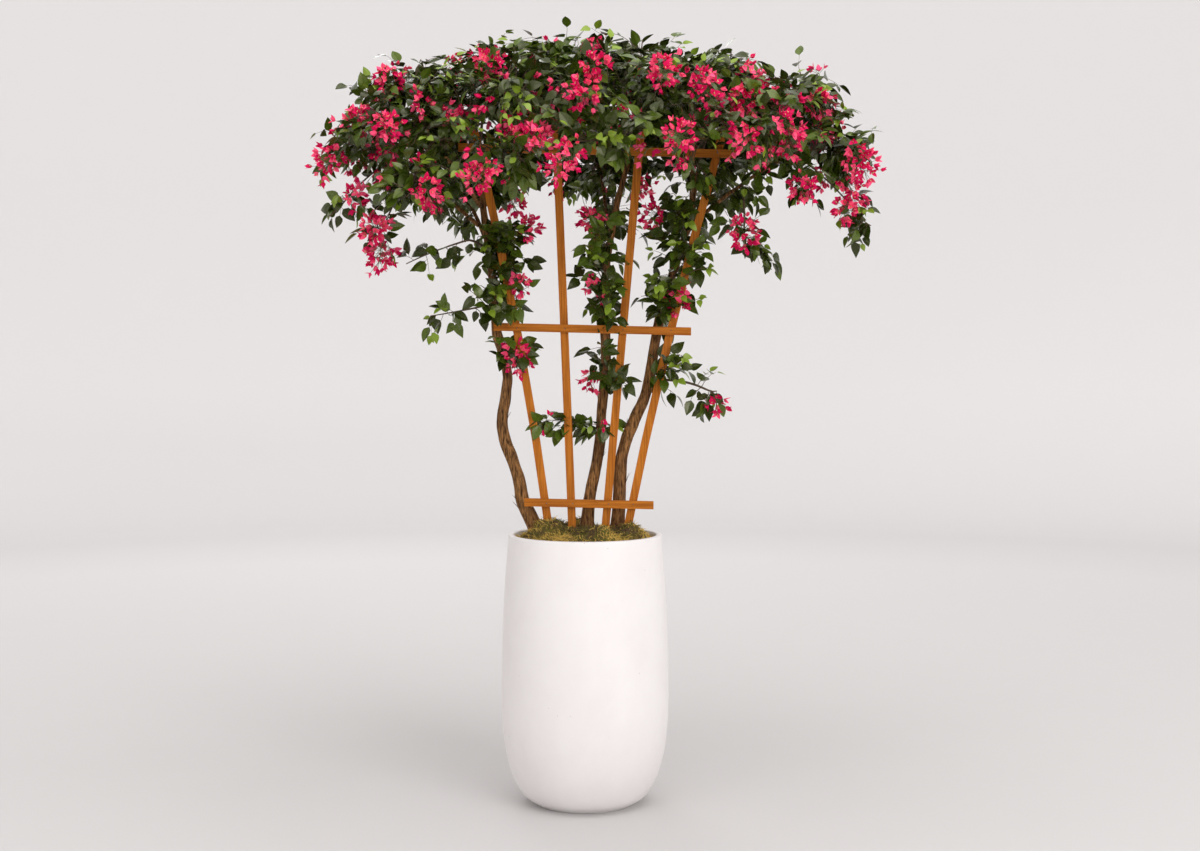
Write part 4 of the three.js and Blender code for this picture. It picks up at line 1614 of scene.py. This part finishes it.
class BOUGAINVILLEA_OT_stage(bpy.types.Operator):
    """Sets the pale floor and backdrop, the soft lights and the camera"""

    bl_idname = "bougainvillea.stage"
    bl_label = "Set the stage"

    # Soft boxes: place, size in metres and power in watts. Each looks at the middle of the plant.
    LAMPS = (
        ((4.3, -6.6, 3.3), 4.2, 242),
        ((-5.0, -5.2, 3.2), 3.0, 40),
        ((0.4, -1.2, 4.2), 2.6, 48),
        ((-1.5, 6.0, 5.0), 3.0, 70),
    )

    def execute(self, context):
        settings = context.scene.bougainvillea_stage
        self.lay_floor(settings)
        for index, (place, size, power) in enumerate(self.LAMPS):
            lamp = bpy.data.lights.new(f"softbox_{index + 1}", "AREA")
            lamp.size, lamp.energy, lamp.shape = size, power, "SQUARE"
            holder = bpy.data.objects.new(lamp.name, lamp)
            holder.location = place
            aim = Vector((0, 0, 1.2)) - Vector(place)
            holder.rotation_euler = aim.to_track_quat("-Z", "Y").to_euler()
            holder.visible_camera = False
            context.scene.collection.objects.link(holder)
        world = bpy.data.worlds.new("studio")
        world.use_nodes = True
        background = world.node_tree.nodes["Background"].inputs
        feed(background["Color"], (1.0, 0.985, 0.975))
        feed(background["Strength"], 0.88)
        context.scene.world = world
        context.scene.view_settings.view_transform = "Standard"
        camera = bpy.data.cameras.new("camera")
        camera.lens, camera.sensor_width = settings.lens, 36
        viewer = bpy.data.objects.new("camera", camera)
        viewer.location = (settings.camera_side, -settings.camera_back, settings.camera_height)
        viewer.rotation_euler = (math.pi / 2 - settings.camera_tilt, 0, 0)
        context.scene.collection.objects.link(viewer)
        context.scene.camera = viewer
        return {"FINISHED"}

    def lay_floor(self, settings):
        """A round floor whose far edge sweeps up into a backdrop."""
        flat, sweep, wall, sides = 7.5, 2.5, 5.0, 96
        outline = [(0.02, 0.0), (flat * 0.5, 0.0), (flat, 0.0)]
        for step in range(1, 13):
            angle = math.pi / 2 * step / 12
            outline.append((flat + sweep * math.sin(angle), sweep * (1 - math.cos(angle))))
        outline.append((flat + sweep, wall))
        points = []
        for radius, height in outline:
            points += [(radius * across, radius * deep, height) for across, deep in around(sides)]
        faces = grid_faces(len(outline), sides, closed=True)
        points.append((0, 0, 0))
        faces += [(len(points) - 1, side, (side + 1) % sides) for side in range(sides)]
        mesh = bpy.data.meshes.new("floor")
        mesh.from_pydata(points, [], faces)
        mesh.shade_smooth()
        values = {"First": settings.floor, "Second": tuple(c * 0.985 for c in settings.floor)}
        values |= {"Patches": (0.6, 0.6, 0.6), "Smooth": 0.85, "Rough": 0.95}
        material = grouped_material("pale_floor", mottle_group(), values, (0.0, 0.001))
        tree = material.node_tree
        base = tree.nodes["Principled BSDF"].inputs["Base Color"]
        inputs = {0: object_place(tree)}
        length_node = shader(tree, "ShaderNodeVectorMath", inputs, operation="LENGTH")
        distance = length_node.outputs["Value"]
        # Painted light and shade: the floor's colour grows paler from the plant outwards and palest up
        # the backdrop.
        near, far = stepped(tree, distance, 0.8, 5.5), stepped(tree, distance, 7.0, 9.5)
        floor_with_painted_falloff = blended(tree, near, base.links[0].from_socket, settings.far_floor_painted_light)
        feed(base, blended(tree, far, floor_with_painted_falloff, settings.backdrop))
        mesh.materials.append(material)
        floor = bpy.data.objects.new("floor", mesh)
        bpy.context.scene.collection.objects.link(floor)


# ---------------------------------------------------------------- add-on


class BOUGAINVILLEA_PT_panel(bpy.types.Panel):
    """Lists the pieces and their sizes"""

    bl_label = "Bougainvillea"
    bl_idname = "BOUGAINVILLEA_PT_panel"
    bl_space_type = "VIEW_3D"
    bl_region_type = "UI"
    bl_category = "Bougainvillea"

    def draw(self, context):
        for operator in OPERATORS:
            self.layout.operator(operator.bl_idname)
        for name, group in SETTINGS.items():
            box = self.layout.box()
            box.label(text=group.__doc__)
            for key in group.__annotations__:
                box.prop(getattr(context.scene, name), key)


OPERATORS = (
    BOUGAINVILLEA_OT_pot,
    BOUGAINVILLEA_OT_moss,
    BOUGAINVILLEA_OT_trellis,
    BOUGAINVILLEA_OT_stems,
    BOUGAINVILLEA_OT_foliage,
    BOUGAINVILLEA_OT_stage,
)


def register():
    """Registers the settings, the operators and the panel."""
    for group in SETTINGS.values():
        bpy.utils.register_class(group)
    for operator in OPERATORS:
        bpy.utils.register_class(operator)
    bpy.utils.register_class(BOUGAINVILLEA_PT_panel)
    for name, group in SETTINGS.items():
        setattr(bpy.types.Scene, name, PointerProperty(type=group))


def unregister():
    """Takes everything out again."""
    for name in SETTINGS:
        delattr(bpy.types.Scene, name)
    bpy.utils.unregister_class(BOUGAINVILLEA_PT_panel)
    for operator in reversed(OPERATORS):
        bpy.utils.unregister_class(operator)
    for group in reversed(SETTINGS.values()):
        bpy.utils.unregister_class(group)


def main():
    """Builds everything in order."""
    register()
    bpy.ops.bougainvillea.stage()
    bpy.ops.bougainvillea.pot()
    bpy.ops.bougainvillea.moss()
    bpy.ops.bougainvillea.trellis()
    bpy.ops.bougainvillea.stems()
    bpy.ops.bougainvillea.foliage()


if __name__ == "__main__":
    main()
